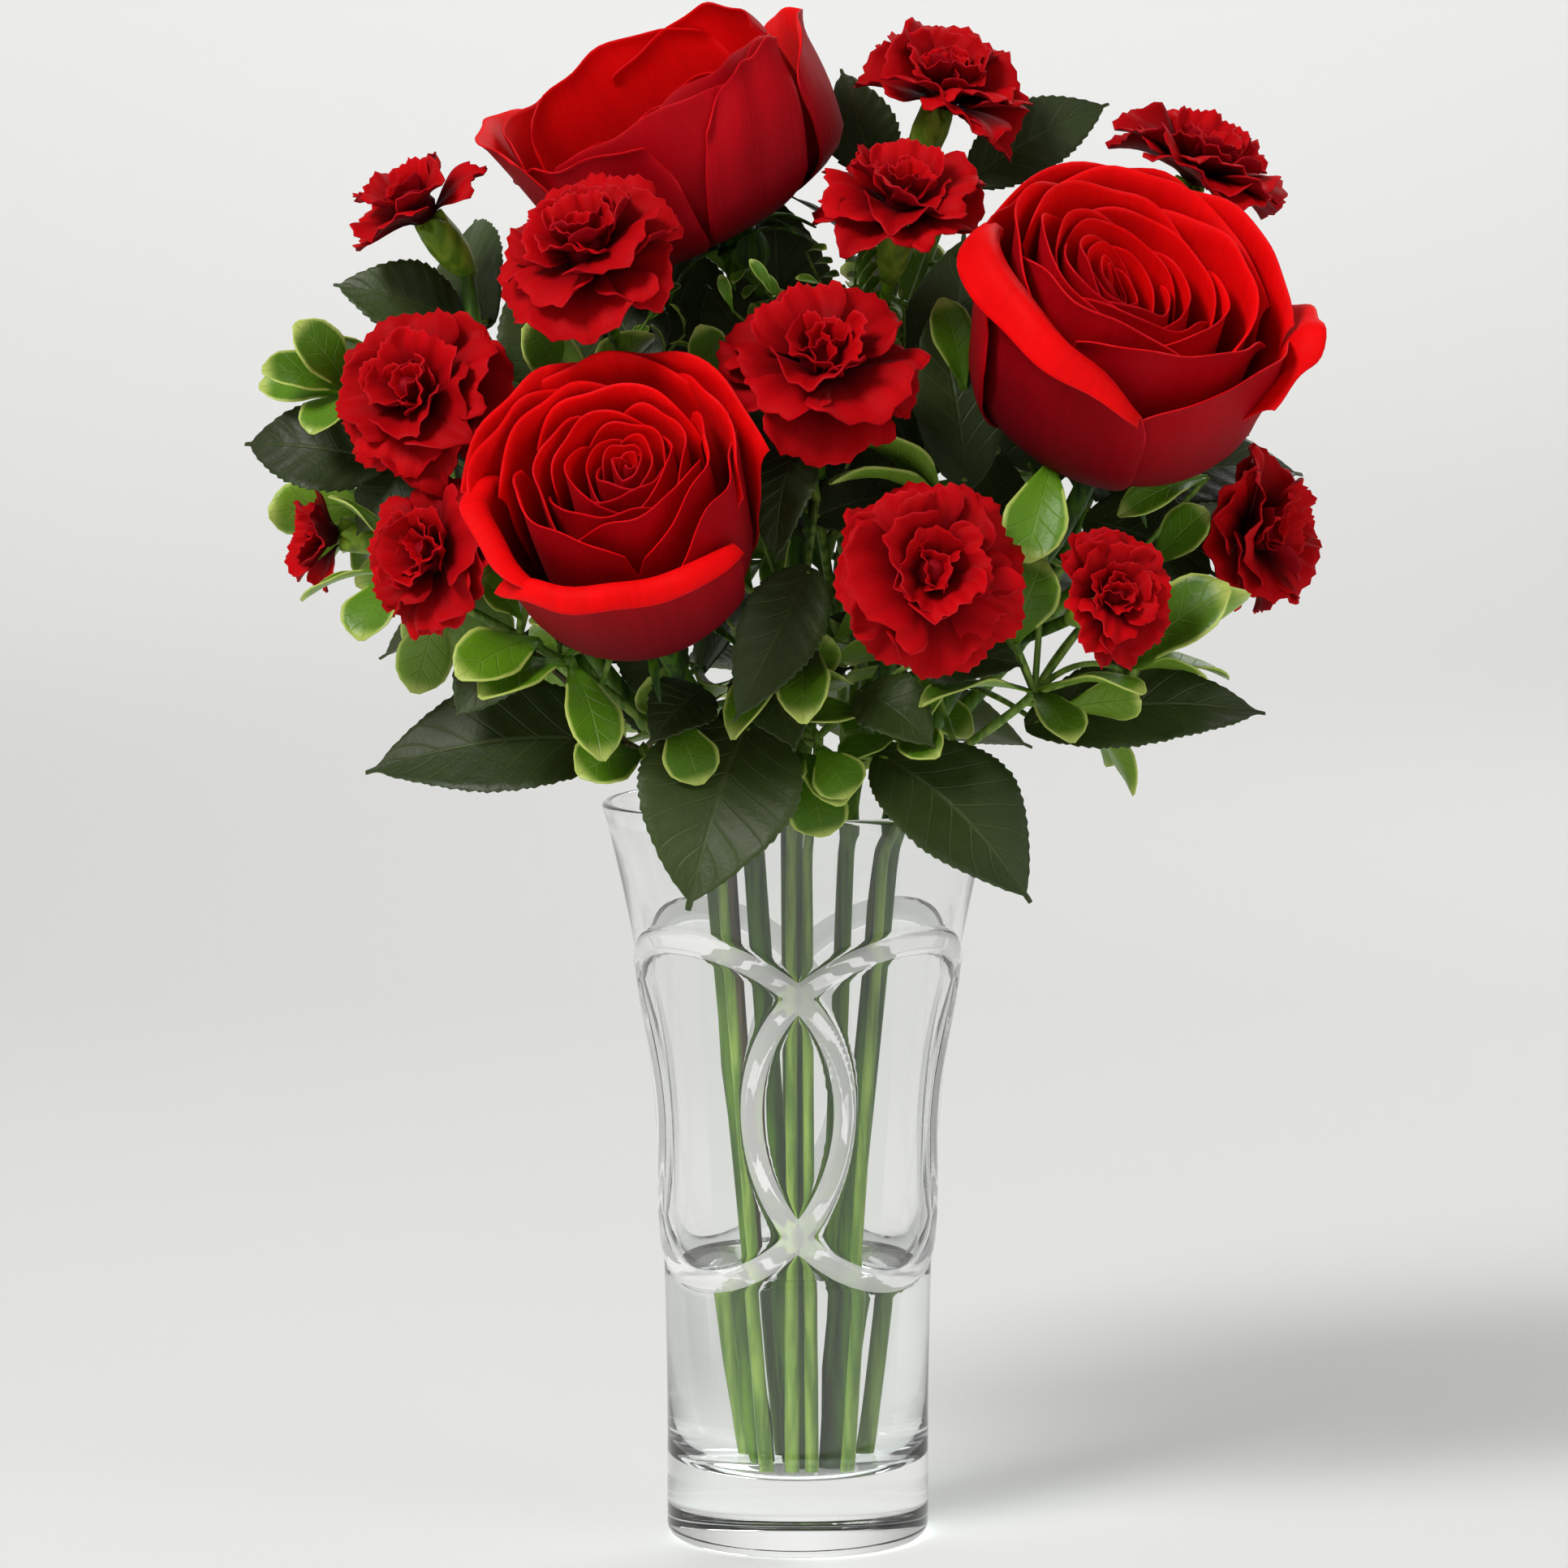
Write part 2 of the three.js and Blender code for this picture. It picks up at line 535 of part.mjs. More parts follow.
function makeSpray(name, spray) {
  const forks = spray.forks.map(vec);
  const heads = Object.values(spray.heads).map(headPlace);
  const main = heads.find(({ head }) => head.from === 'end');
  const fromBelow = forks[0].clone().sub(new THREE.Vector3(0, 0, 140)).normalize();
  const lower = stemPoints(spray, forks[0], fromBelow, 4);
  const upper = new THREE.CatmullRomCurve3([lower.at(-2), ...forks, main.neck], false, 'centripetal');
  const points = [...lower.slice(0, -1), ...upper.getPoints(3 * (forks.length + 1)).slice(1)];
  const solids = [standingStem(points, spray.radius, calyx.sides)];
  heads.forEach(({ head, facing, base, neck }) => {
    const cup = lathe([
      [0, -calyx.length], [calyx.neck, -calyx.length], [calyx.belly, -calyx.length * 0.6],
      [calyx.mouth, -seatGap], [0, -seatGap],
    ], calyx.sides);
    solids.push(placed(cup, base, aim(head.facing)));
    if (head.from !== 'end') {
      const fork = forks[head.from];
      const leaving = fork.clone().lerp(neck, 0.3).addScaledVector(up, 3);
      const arriving = neck.clone().addScaledVector(facing, -0.4 * fork.distanceTo(neck));
      const branch = new THREE.CubicBezierCurve3(fork, leaving, arriving, neck).getPoints(3);
      solids.push(tube(branch, taper(branch, branchRadius.fork, branchRadius.neck), calyx.sides));
    }
  });
  addPiece(`carnation_spray_${name}`, join(solids), colours.carnationGreen, 0.5);
}

// Leaves: a blade from root to tip that faces a given way and arches a little
const turns = [[0, 0], [0, 9], [0, -9], [9, 0], [-9, 0], [12, 12], [-12, 12], [12, -12], [-12, -12],
  [0, 20], [0, -20], [20, 0], [-20, 0], [24, 18], [-24, 18], [24, -18], [-24, -18]];

function leafFrame(root, tip, face, [swing, lift]) {
  const along = tip.clone().sub(root).normalize();
  const across = face.clone().cross(along).normalize();
  const out = along.clone().cross(across).normalize();
  along.applyAxisAngle(out, radians(swing)).applyAxisAngle(across, radians(-lift));
  across.applyAxisAngle(out, radians(swing));
  out.crossVectors(along, across).normalize();
  return { along, across, out, length: root.distanceTo(tip) };
}

function toothedBlade(root, frame, width) {
  const { along, across, out, length } = frame;
  const { rows: count, toothLean, fold, arch, droop } = toothedLeaf;
  const grid = Array.from({ length: count + 1 }, (_, i) => {
    const t = i / count;
    const outline = Math.sin(Math.PI * Math.min(0.985, 0.04 + t ** 0.85)) ** 0.8;
    const tooth = i > 0 && i < count ? (i % 2 ? 1 : -1) * toothedLeaf.tooth : 0;
    const rise = length * (arch * Math.sin(Math.PI * t) - droop * t * t);
    return [-1, 0, 1].map((u) => root.clone()
      .addScaledVector(along, length * (t - (u ? tooth * toothLean : 0)))
      .addScaledVector(across, (u * width * Math.max(0.03, outline * (1 + tooth))) / 2)
      .addScaledVector(out, rise + (u ? fold * width * outline : 0)));
  });
  return sheet(grid, toothedLeaf.thickness);
}

function glossyBlade(root, frame, width) {
  const { along, across, out, length } = frame;
  const grid = glossyLeaf.outline.map(([t, share]) => {
    const bow = glossyLeaf.bow * length * Math.sin(Math.PI * t * 0.9);
    return [-1, 0, 1].map((u) => root.clone().addScaledVector(along, length * (t - (u && t === 1 ? 0.05 : 0)))
      .addScaledVector(across, (u * width * share) / 2)
      .addScaledVector(out, bow + (u ? glossyLeaf.fold * width * share : 0)));
  });
  return sheet(grid, glossyLeaf.thickness);
}

// Whether a solid keeps its gap to every piece made so far
function isClear(solid) {
  const box = solid.boundingBox();
  return pieces.every(({ solid: other }) => {
    const { min, max } = other.boundingBox();
    const apart = [0, 1, 2].some((i) => min[i] - clearGap > box.max[i] || box.min[i] - clearGap > max[i]);
    return apart || solid.minGap(other, clearGap) >= clearGap;
  });
}

// A leaf at the first of its turns that keeps clear of the rest, if there is one
function bentClear(blade, root, tip, face, width) {
  for (const turn of turns) {
    const frame = leafFrame(root, tip, face, turn);
    const solid = blade(root, frame, width);
    if (isClear(solid)) return { solid, frame };
  }
  return null;
}

const nearestOn = (points, place) => points.slice(1).reduce(
  (best, point) => (point.distanceTo(place) < best.distanceTo(place) ? point : best),
);

// A stalk from a stem up to a root, that leaves the stem a little lower than the root's nearest point
function stalk(points, root, radius) {
  const lower = root.clone().addScaledVector(up, -0.35 * root.distanceTo(nearestOn(points, root)));
  const start = nearestOn(points, lower);
  const middle = start.clone().lerp(root, 0.5).addScaledVector(up, 0.06 * start.distanceTo(root));
  const route = new THREE.QuadraticBezierCurve3(start, middle, root).getPoints(2);
  return tube(route, taper(route, radius, radius * 0.8), 3);
}

function makeToothedStem(name, stem) {
  const end = vec(stem.top);
  const points = stemPoints(stem, end, vec(stem.facing).normalize());
  const solids = [standingStem(points, stem.radius, 4)];
  stem.leaves.forEach(({ root, tip, width, face }, k) => {
    const start = vec(root);
    const leaf = bentClear(toothedBlade, start, vec(tip), vec(face), width);
    if (!leaf) throw new Error(`toothed leaf ${k} of ${name} has no clear place`);
    const inBlade = start.clone().addScaledVector(leaf.frame.along, 0.05 * leaf.frame.length)
      .addScaledVector(leaf.frame.out, 0.015 * leaf.frame.length);
    solids.push(leaf.solid, stalk(points, inBlade, toothedLeaf.stalk));
  });
  addPiece(`toothed_leaves_${name}`, join(solids), colours.toothedLeaf, 0.45);
}

function makeGlossyStem(name, stem, number) {
  const end = vec(stem.top);
  const points = stemPoints(stem, end, vec(stem.facing).normalize());
  const solids = [standingStem(points, stem.radius, 4)];
  stem.whorls.forEach(({ at, tips, extra }, w) => {
    const middle = vec(at);
    const start = nearestOn(points, middle);
    if (start.distanceTo(middle) > 1) solids.push(stalk(points, middle, glossyLeaf.stalk));
    solids.push(placed(solidOf(new THREE.OctahedronGeometry(glossyLeaf.bud)), middle, aim([0, 0, 1])));
    const axis = middle.clone().sub(start).addScaledVector(up, 12).normalize();
    const spots = tips.map(vec);
    for (let k = 0; k < extra; k += 1) {
      const around = radians(goldenAngle * k + 360 * draw(number * 50 + w * 7));
      const side = new THREE.Vector3(Math.cos(around), Math.sin(around), 0);
      side.applyQuaternion(aim(axis.toArray()));
      const spread = radians(glossyLeaf.extraSpread);
      spots.push(middle.clone().addScaledVector(axis, glossyLeaf.length * Math.cos(spread))
        .addScaledVector(side, glossyLeaf.length * Math.sin(spread)));
    }
    spots.forEach((tip) => {
      const face = axis.clone().addScaledVector(up, 0.6);
      const leaf = bentClear(glossyBlade, middle, tip, face, glossyLeaf.width);
      if (leaf) solids.push(leaf.solid);
    });
  });
  addPiece(`glossy_leaves_${name}`, join(solids), colours.glossyLeaf, 0.35);
}

function makeWater() {
  const wall = vaseInner.filter(([radius, height]) => radius > 0 && height <= waterLevel).reverse();
  const inset = wall.map(([radius, height]) => [radius - clearGap, Math.max(height, floorHeight + seatGap)]);
  const body = lathe([[0, floorHeight + seatGap], ...inset, [0, waterLevel]], vaseSides);
  addPiece('water', stemHoles.reduce((water, hole) => water.subtract(hole), body), colours.water, 0.05);
}

makeVase();
Object.entries(roses).forEach(([name, rose]) => makeRose(name, rose));
let seed = 1;
Object.values(sprays).forEach((spray) => Object.entries(spray.heads).forEach(([name, head]) => {
  makeCarnation(name, head, seed);
  seed += 1;
}));
Object.entries(sprays).forEach(([name, spray]) => makeSpray(name, spray));
Object.entries(toothedStems).forEach(([name, stem]) => makeToothedStem(name, stem));
Object.entries(glossyStems).forEach(([name, stem], k) => makeGlossyStem(name, stem, k));
makeWater();

export default group;
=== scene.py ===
import json
import math

import bpy
import numpy as np
from mathutils import Matrix, Vector
from mathutils.bvhtree import BVHTree

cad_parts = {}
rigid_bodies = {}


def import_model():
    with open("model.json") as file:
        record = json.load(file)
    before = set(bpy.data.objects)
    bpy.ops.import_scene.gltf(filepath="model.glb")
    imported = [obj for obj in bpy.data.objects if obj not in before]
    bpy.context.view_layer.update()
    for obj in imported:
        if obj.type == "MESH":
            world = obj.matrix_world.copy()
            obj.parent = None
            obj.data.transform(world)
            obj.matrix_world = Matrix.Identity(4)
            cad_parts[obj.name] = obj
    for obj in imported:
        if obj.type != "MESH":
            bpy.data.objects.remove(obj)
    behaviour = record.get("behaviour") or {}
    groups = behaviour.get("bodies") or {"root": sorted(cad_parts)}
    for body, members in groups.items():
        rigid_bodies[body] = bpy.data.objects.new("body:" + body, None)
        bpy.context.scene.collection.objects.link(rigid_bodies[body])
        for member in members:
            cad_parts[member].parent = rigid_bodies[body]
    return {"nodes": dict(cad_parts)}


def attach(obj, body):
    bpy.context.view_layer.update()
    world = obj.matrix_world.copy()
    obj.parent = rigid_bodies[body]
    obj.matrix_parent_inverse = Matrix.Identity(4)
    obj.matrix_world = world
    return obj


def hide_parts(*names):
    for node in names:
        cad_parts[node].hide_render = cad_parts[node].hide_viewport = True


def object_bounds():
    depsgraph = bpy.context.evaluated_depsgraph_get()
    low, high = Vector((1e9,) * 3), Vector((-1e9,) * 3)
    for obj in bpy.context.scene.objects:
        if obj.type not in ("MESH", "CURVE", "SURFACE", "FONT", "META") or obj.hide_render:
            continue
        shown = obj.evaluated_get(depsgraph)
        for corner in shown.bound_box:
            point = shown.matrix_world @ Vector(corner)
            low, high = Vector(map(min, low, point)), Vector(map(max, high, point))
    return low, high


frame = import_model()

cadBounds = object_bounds()
scene = bpy.context.scene
mm = 0.001
goldenAngle = math.radians(137.5)
seatGap = 0.3
print("frame loaded:", len(frame["nodes"]), "nodes")


# Small sums

def mix(a, b, share):
    return a + (b - a) * share


def ease(low, high, value):
    share = np.clip((value - low) / (high - low), 0, 1)
    return share * share * (3 - 2 * share)


def unit(vector):
    vector = np.asarray(vector, float)
    return vector / np.linalg.norm(vector)


drawStep, drawStart, drawScale = 12.9898, 4.137, 43758.5453


def draw(number):  # a steady fraction from 0 to 1
    value = math.sin(number * drawStep + drawStart) * drawScale
    return value - math.floor(value)


def turned(vector, axis, degrees):
    return np.array(Matrix.Rotation(math.radians(degrees), 3, Vector(axis)) @ Vector(vector))


def sideways(angle):
    return np.array([math.cos(angle), math.sin(angle), 0])


def slanted(axis, around, spread):  # a direction that leans away from an axis, by degrees
    turn = Vector((0, 0, 1)).rotation_difference(Vector(axis))
    side = np.array(turn @ Vector(sideways(around)))
    return axis * math.cos(math.radians(spread)) + side * math.sin(math.radians(spread))


def facingMatrix(place, facing, spin=0.0):  # local X stays towards the right of the picture
    z = unit(facing)
    x = unit(np.array([1.0, 0, 0]) - z * z[0])
    axes = Matrix(np.column_stack([x, np.cross(z, x), z]).tolist())
    axes = axes @ Matrix.Rotation(math.radians(spin), 3, "Z")
    return Matrix.Translation(Vector(place) * mm) @ axes.to_4x4()


def bezier(a, b, c, d, count):
    t = np.linspace(0, 1, count)[:, None]
    a, b, c, d = (np.asarray(p, float) for p in (a, b, c, d))
    return a * (1 - t) ** 3 + 3 * b * t * (1 - t) ** 2 + 3 * c * t * t * (1 - t) + d * t ** 3


def throughPoints(points, perSpan):  # a centripetal curve through every point
    points = [np.asarray(p, float) for p in points]
    points = [2 * points[0] - points[1], *points, 2 * points[-1] - points[-2]]
    route = [points[1]]
    for p0, p1, p2, p3 in zip(points, points[1:], points[2:], points[3:]):
        d0, d1, d2 = (math.sqrt(np.linalg.norm(b - a)) for a, b in ((p0, p1), (p1, p2), (p2, p3)))
        m1 = ((p1 - p0) / d0 - (p2 - p0) / (d0 + d1) + (p2 - p1) / d1) * d1
        m2 = ((p2 - p1) / d1 - (p3 - p1) / (d1 + d2) + (p3 - p2) / d2) * d1
        for t in np.linspace(0, 1, perSpan + 1)[1:]:
            route.append(p1 * (2 * t ** 3 - 3 * t * t + 1) + m1 * (t ** 3 - 2 * t * t + t)
                         + p2 * (3 * t * t - 2 * t ** 3) + m2 * (t ** 3 - t * t))
    return np.array(route)


def lengthsAlong(route):
    return np.concatenate([[0], np.cumsum(np.linalg.norm(np.diff(route, axis=0), axis=1))])


def placeAlong(route, stations, at):  # the point of a route where its stations reach a value
    return np.array([np.interp(at, stations, route[:, i]) for i in range(3)])


# Camera, floor and light

camera = {
    "aim": (-0.0035, 0.0, 0.192), "elevation": 6.0, "distance": 1.73, "lens": 157.64, "sensor": 36.0,
    "near": 0.05, "far": 50,
}
floor = {
    "flat": 2.6, "edge": 6.0, "height": 3.6, "rings": 20, "sides": 96, "colour": (0.82, 0.82, 0.81, 1),
    "roughness": 0.7, "gloss": 0.2,
}
studio = {"aim": (0, 0, 0.2), "sky": 0.3}
lamps = {
    "key": {"place": (-1.3, -1.5, 2.0), "size": 0.8, "power": 52, "colour": (1, 0.985, 0.96)},
    "fill": {"place": (1.9, -1.4, 1.0), "size": 1.4, "power": 10, "colour": (0.97, 0.98, 1)},
    "rim": {"place": (0.9, 1.6, 1.6), "size": 0.9, "power": 14, "colour": (1, 1, 1)},
    "backdrop": {"place": (0, 3.0, 3.0), "aim": (0, 6.0, 1.0), "size": 2.4, "power": 62, "colour": (1, 1, 1)},
}


def pointAt(thing, place, target):
    thing.location = place
    thing.rotation_euler = (Vector(target) - Vector(place)).to_track_quat("-Z", "Y").to_euler()


def makeCamera():
    tilt = math.radians(camera["elevation"])
    lens = bpy.data.cameras.new("camera")
    lens.lens = camera["lens"]
    lens.sensor_width = camera["sensor"]
    lens.clip_start, lens.clip_end = camera["near"], camera["far"]
    eye = bpy.data.objects.new("camera", lens)
    away = Vector((0, -math.cos(tilt), math.sin(tilt))) * camera["distance"]
    pointAt(eye, Vector(camera["aim"]) + away, camera["aim"])
    scene.collection.objects.link(eye)
    scene.camera = eye


def makeLamps():
    for name, lamp in lamps.items():
        light = bpy.data.lights.new(name, "AREA")
        light.size = lamp["size"]
        light.energy = lamp["power"]
        light.color = lamp["colour"]
        holder = bpy.data.objects.new(name, light)
        pointAt(holder, lamp["place"], lamp.get("aim", studio["aim"]))
        scene.collection.objects.link(holder)
    scene.world = bpy.data.worlds.new("studio")
    scene.world.use_nodes = True
    sky = scene.world.node_tree.nodes["Background"]
    sky.inputs["Color"].default_value = (1, 1, 1, 1)
    sky.inputs["Strength"].default_value = studio["sky"]
    scene.view_settings.view_transform = "Standard"
    scene.view_settings.look = "None"


# Node helpers for shaders and for Geometry Nodes

def plug(tree, value, socket):
    if isinstance(value, bpy.types.NodeSocket):
        tree.links.new(value, socket)
    elif isinstance(value, bpy.types.Node):
        tree.links.new(value.outputs[0], socket)
    else:
        socket.default_value = value


def addNode(tree, kind, inputs=None, **settings):
    node = tree.nodes.new(kind)
    for name, value in settings.items():
        setattr(node, name, value)
    for key, value in (inputs or {}).items():
        plug(tree, value, node.inputs[key])
    return node


def calc(tree, operation, *values, clamp=False):
    inputs = dict(enumerate(values))
    return addNode(tree, "ShaderNodeMath", inputs, operation=operation, use_clamp=clamp).outputs[0]


def ramp(tree, value, low, high, start=0.0, end=1.0):
    inputs = {0: value, 1: low, 2: high, 3: start, 4: end}
    return addNode(tree, "ShaderNodeMapRange", inputs, interpolation_type="SMOOTHSTEP").outputs[0]


def blend(tree, share, first, second, mode="MIX"):
    inputs = {0: share, 6: first, 7: second}
    return addNode(tree, "ShaderNodeMix", inputs, data_type="RGBA", blend_type=mode).outputs[2]


def newTree(name, kind, inputs, outputs):  # labels with a type, and for inputs a value
    tree = bpy.data.node_groups.new(name, kind)
    for label, (word, value) in inputs.items():
        socket = tree.interface.new_socket(name=label, in_out="INPUT", socket_type=f"NodeSocket{word}")
        if value is not None:
            socket.default_value = value
    for label, word in outputs.items():
        tree.interface.new_socket(name=label, in_out="OUTPUT", socket_type=f"NodeSocket{word}")
    return tree, tree.nodes.new("NodeGroupInput").outputs, tree.nodes.new("NodeGroupOutput").inputs


def newShaderGroup(name, inputs, *outputs):
    given = {label: ("Float", value) for label, value in inputs.items()}
    return newTree(name, "ShaderNodeTree", given, {label: "Float" for label in outputs})


def newGeometryTree(name, inputs):
    given = {"Geometry": ("Geometry", None), **inputs, "Material": ("Material", None)}
    return newTree(name, "GeometryNodeTree", given, {"Geometry": "Geometry"})


def useGroup(tree, group, **inputs):
    return addNode(tree, "ShaderNodeGroup", inputs, node_tree=group)


def mapPlace(tree):  # across and along a petal or leaf, from its own map
    place = addNode(tree, "ShaderNodeUVMap", uv_map="petalMap")
    split = addNode(tree, "ShaderNodeSeparateXYZ", {0: place})
    return split.outputs[0], split.outputs[1]


def objectPlace(tree):
    return addNode(tree, "ShaderNodeTexCoord").outputs["Object"]


def attributeValue(tree, name):
    return addNode(tree, "ShaderNodeAttribute", attribute_name=name).outputs["Fac"]


def fromMiddle(tree, across):  # 0 on the middle line of a petal or leaf, 1 at its sides
    return calc(tree, "ABSOLUTE", calc(tree, "MULTIPLY_ADD", across, 2.0, -1.0))


def aboutOne(tree, noise, amount):  # noise as a factor that lies about 1
    centred = calc(tree, "MULTIPLY_ADD", noise.outputs["Fac"], 2.0, -1.0)
    return calc(tree, "MULTIPLY_ADD", centred, amount, 1.0)


# Shader groups that more than one material uses

edgeFade = 0.2  # how far along the leaf or petal its side edges come in
streakForm = {"stretch": 2.5, "apart": 40.0}
veinForm = {"midrib": 1.2, "sideVein": 1.8, "bend": 0.85, "thinning": -0.6, "fade": (0.98, 0.85)}


def makeFreeEdge():  # 1 along the free edge of a petal or leaf
    tree, given, result = newShaderGroup("freeEdge", {"Width": 0.05, "From": 0.4}, "Mask")
    across, along = mapPlace(tree)
    opening = ramp(tree, along, given["From"], calc(tree, "ADD", given["From"], edgeFade))
    furthest = calc(tree, "MAXIMUM", along, calc(tree, "MULTIPLY", fromMiddle(tree, across), opening))
    start = calc(tree, "SUBTRACT", 1.0, given["Width"])
    plug(tree, ramp(tree, furthest, start, 1.0), result["Mask"])
    return tree


def makeMottle():  # soft patches about 1, in the object's own space
    tree, given, result = newShaderGroup("mottle", {"Scale": 60.0, "Amount": 0.2}, "Value")
    place = objectPlace(tree)
    noise = addNode(tree, "ShaderNodeTexNoise", {"Vector": place, "Scale": given["Scale"], "Detail": 3.0})
    plug(tree, aboutOne(tree, noise, given["Amount"]), result["Value"])
    return tree


def makeStreaks():  # fine lines that run along a petal or leaf
    tree, given, result = newShaderGroup("streaks", {"Count": 40.0, "Amount": 0.1}, "Value", "Height")
    across, along = mapPlace(tree)
    stretched = addNode(tree, "ShaderNodeCombineXYZ", {
        0: calc(tree, "MULTIPLY", across, given["Count"]),
        1: calc(tree, "MULTIPLY", along, streakForm["stretch"]),
        2: calc(tree, "MULTIPLY", attributeValue(tree, "toneAndShade"), streakForm["apart"]),
    })
    noise = addNode(tree, "ShaderNodeTexNoise", {"Vector": stretched, "Scale": 1.0, "Detail": 2.0})
    plug(tree, aboutOne(tree, noise, given["Amount"]), result["Value"])
    plug(tree, noise.outputs["Fac"], result["Height"])
    return tree


def makeVeins():  # a midrib and slanting side veins on a leaf's map
    tree, given, result = newShaderGroup("veins", {"Pairs": 7.0, "Slant": 1.6, "Width": 0.05}, "Mask")
    across, along = mapPlace(tree)
    side = fromMiddle(tree, across)
    midrib = ramp(tree, side, calc(tree, "MULTIPLY", given["Width"], veinForm["midrib"]), 0.0)
    bent = calc(tree, "MULTIPLY", calc(tree, "POWER", side, veinForm["bend"]), given["Slant"])
    phase = calc(tree, "SUBTRACT", calc(tree, "MULTIPLY", along, given["Pairs"]), bent)
    offset = calc(tree, "ABSOLUTE", calc(tree, "SUBTRACT", calc(tree, "FRACT", phase), 0.5))
    thin = calc(tree, "MULTIPLY_ADD", side, veinForm["thinning"], 1.0)
    width = calc(tree, "MULTIPLY", calc(tree, "MULTIPLY", given["Width"], thin), veinForm["sideVein"])
    vein = ramp(tree, offset, width, 0.0)
    inside = ramp(tree, side, *veinForm["fade"])
    plug(tree, calc(tree, "MAXIMUM", midrib, calc(tree, "MULTIPLY", vein, inside)), result["Mask"])
    return tree


# Materials

def newMaterial(name):
    material = bpy.data.materials.new(name)
    material.use_nodes = True
    return material, material.node_tree, material.node_tree.nodes["Principled BSDF"]


def setShader(shader, **values):
    for name, value in values.items():
        shader.inputs[name.replace("_", " ")].default_value = value


def scaled(tree, colour, *factors):
    for factor in factors:
        grey = addNode(tree, "ShaderNodeCombineColor", {0: factor, 1: factor, 2: factor})
        colour = blend(tree, 1.0, colour, grey, "MULTIPLY")
    return colour


def addPatches(tree, look, groups, colour):  # patches, streaks and a tone for each petal or leaf, which on roses also carries painted shade
    patches = useGroup(tree, groups["mottle"], Scale=look["patchScale"], Amount=look["patches"]).outputs[0]
    streaks = useGroup(tree, groups["streaks"], Count=look["streaks"], Amount=look["streakAmount"])
    shade = calc(tree, "MULTIPLY_ADD", attributeValue(tree, "toneAndShade"), look["toneRange"], look["toneFrom"])
    return scaled(tree, colour, patches, streaks.outputs["Value"], shade), patches, streaks


def setColour(tree, shader, colour, patches, roughness):
    plug(tree, colour, shader.inputs["Base Color"])
    plug(tree, calc(tree, "MULTIPLY", patches, roughness), shader.inputs["Roughness"])


def bump(tree, shader, height, strength, distance):
    node = addNode(tree, "ShaderNodeBump", {"Height": height, "Strength": strength, "Distance": distance})
    plug(tree, node, shader.inputs["Normal"])


petalSurface = {
    "patchScale": 90.0, "patches": 0.16, "streakAmount": 0.14, "toneRange": 0.3, "toneFrom": 0.82,
    "rootTo": 0.08, "rimFrom": 0.45, "rimPatches": 75.0, "rimBreaks": (0.85, 1.3), "velvetScale": 2200.0,
    "velvet": 0.25, "bump": 0.35, "relief": 0.0004,
}
# "root" in each look is painted shade: a near-black colour at the petal's root, standing in for the shade
# deep in the bloom
petalLooks = {
    # "rim" in each look is a painted highlight: a pale pink line along the petal's free edge, standing in for
    # light caught on the rims
    "rose": {
        "inner": (0.86, 0.0012, 0.002, 1), "outer": (0.38, 0.0006, 0.005, 1), "root": (0.04, 0.0, 0.003, 1),
        "rim": (0.9, 0.025, 0.04, 1), "rimWidth": 0.02, "rimStrength": 0.3, "streaks": 34.0,
        "roughness": 0.64, "rootFrom": 0.82, **petalSurface,
    },
    "carnation": {
        "inner": (0.46, 0.0006, 0.003, 1), "outer": (0.28, 0.0006, 0.006, 1), "root": (0.025, 0.0, 0.002, 1),
        "rim": (0.74, 0.02, 0.03, 1), "rimWidth": 0.03, "rimStrength": 0.35, "streaks": 22.0,
        "roughness": 0.66, "rootFrom": 0.9, **petalSurface,
    },
}


def makePetalMaterial(name, look, groups):
    material, tree, shader = newMaterial(name)
    along = mapPlace(tree)[1]
    colour = blend(tree, attributeValue(tree, "side"), look["inner"], look["outer"])
    # painted shade: the petal darkens towards its root, where the bloom's creases lie in shade
    colour = blend(tree, ramp(tree, along, look["rootFrom"], look["rootTo"]), colour, look["root"])
    colour, patches, streaks = addPatches(tree, look, groups, colour)
    # painted highlight: the pale rim colour along the free edge, broken into patches
    rim = useGroup(tree, groups["freeEdge"], Width=look["rimWidth"], From=look["rimFrom"]).outputs[0]
    places = useGroup(tree, groups["mottle"], Scale=look["rimPatches"], Amount=1.0).outputs[0]
    rim = calc(tree, "MULTIPLY", rim, ramp(tree, places, *look["rimBreaks"]))
    colour = blend(tree, calc(tree, "MULTIPLY", rim, look["rimStrength"]), colour, look["rim"])
    setColour(tree, shader, colour, patches, look["roughness"])
    setShader(shader, Specular_IOR_Level=0.07, Sheen_Weight=0.03, Sheen_Roughness=0.4,
              Sheen_Tint=(1, 0.12, 0.14, 1), Subsurface_Weight=0.1, Subsurface_Scale=0.002,
              Subsurface_Radius=(1, 0.1, 0.08))
    velvet = addNode(tree, "ShaderNodeTexNoise", {
        "Vector": objectPlace(tree), "Scale": look["velvetScale"], "Detail": 2.0})
    fine = calc(tree, "MULTIPLY", velvet.outputs["Fac"], look["velvet"])
    bump(tree, shader, calc(tree, "ADD", streaks.outputs["Height"], fine), look["bump"], look["relief"])
    return material


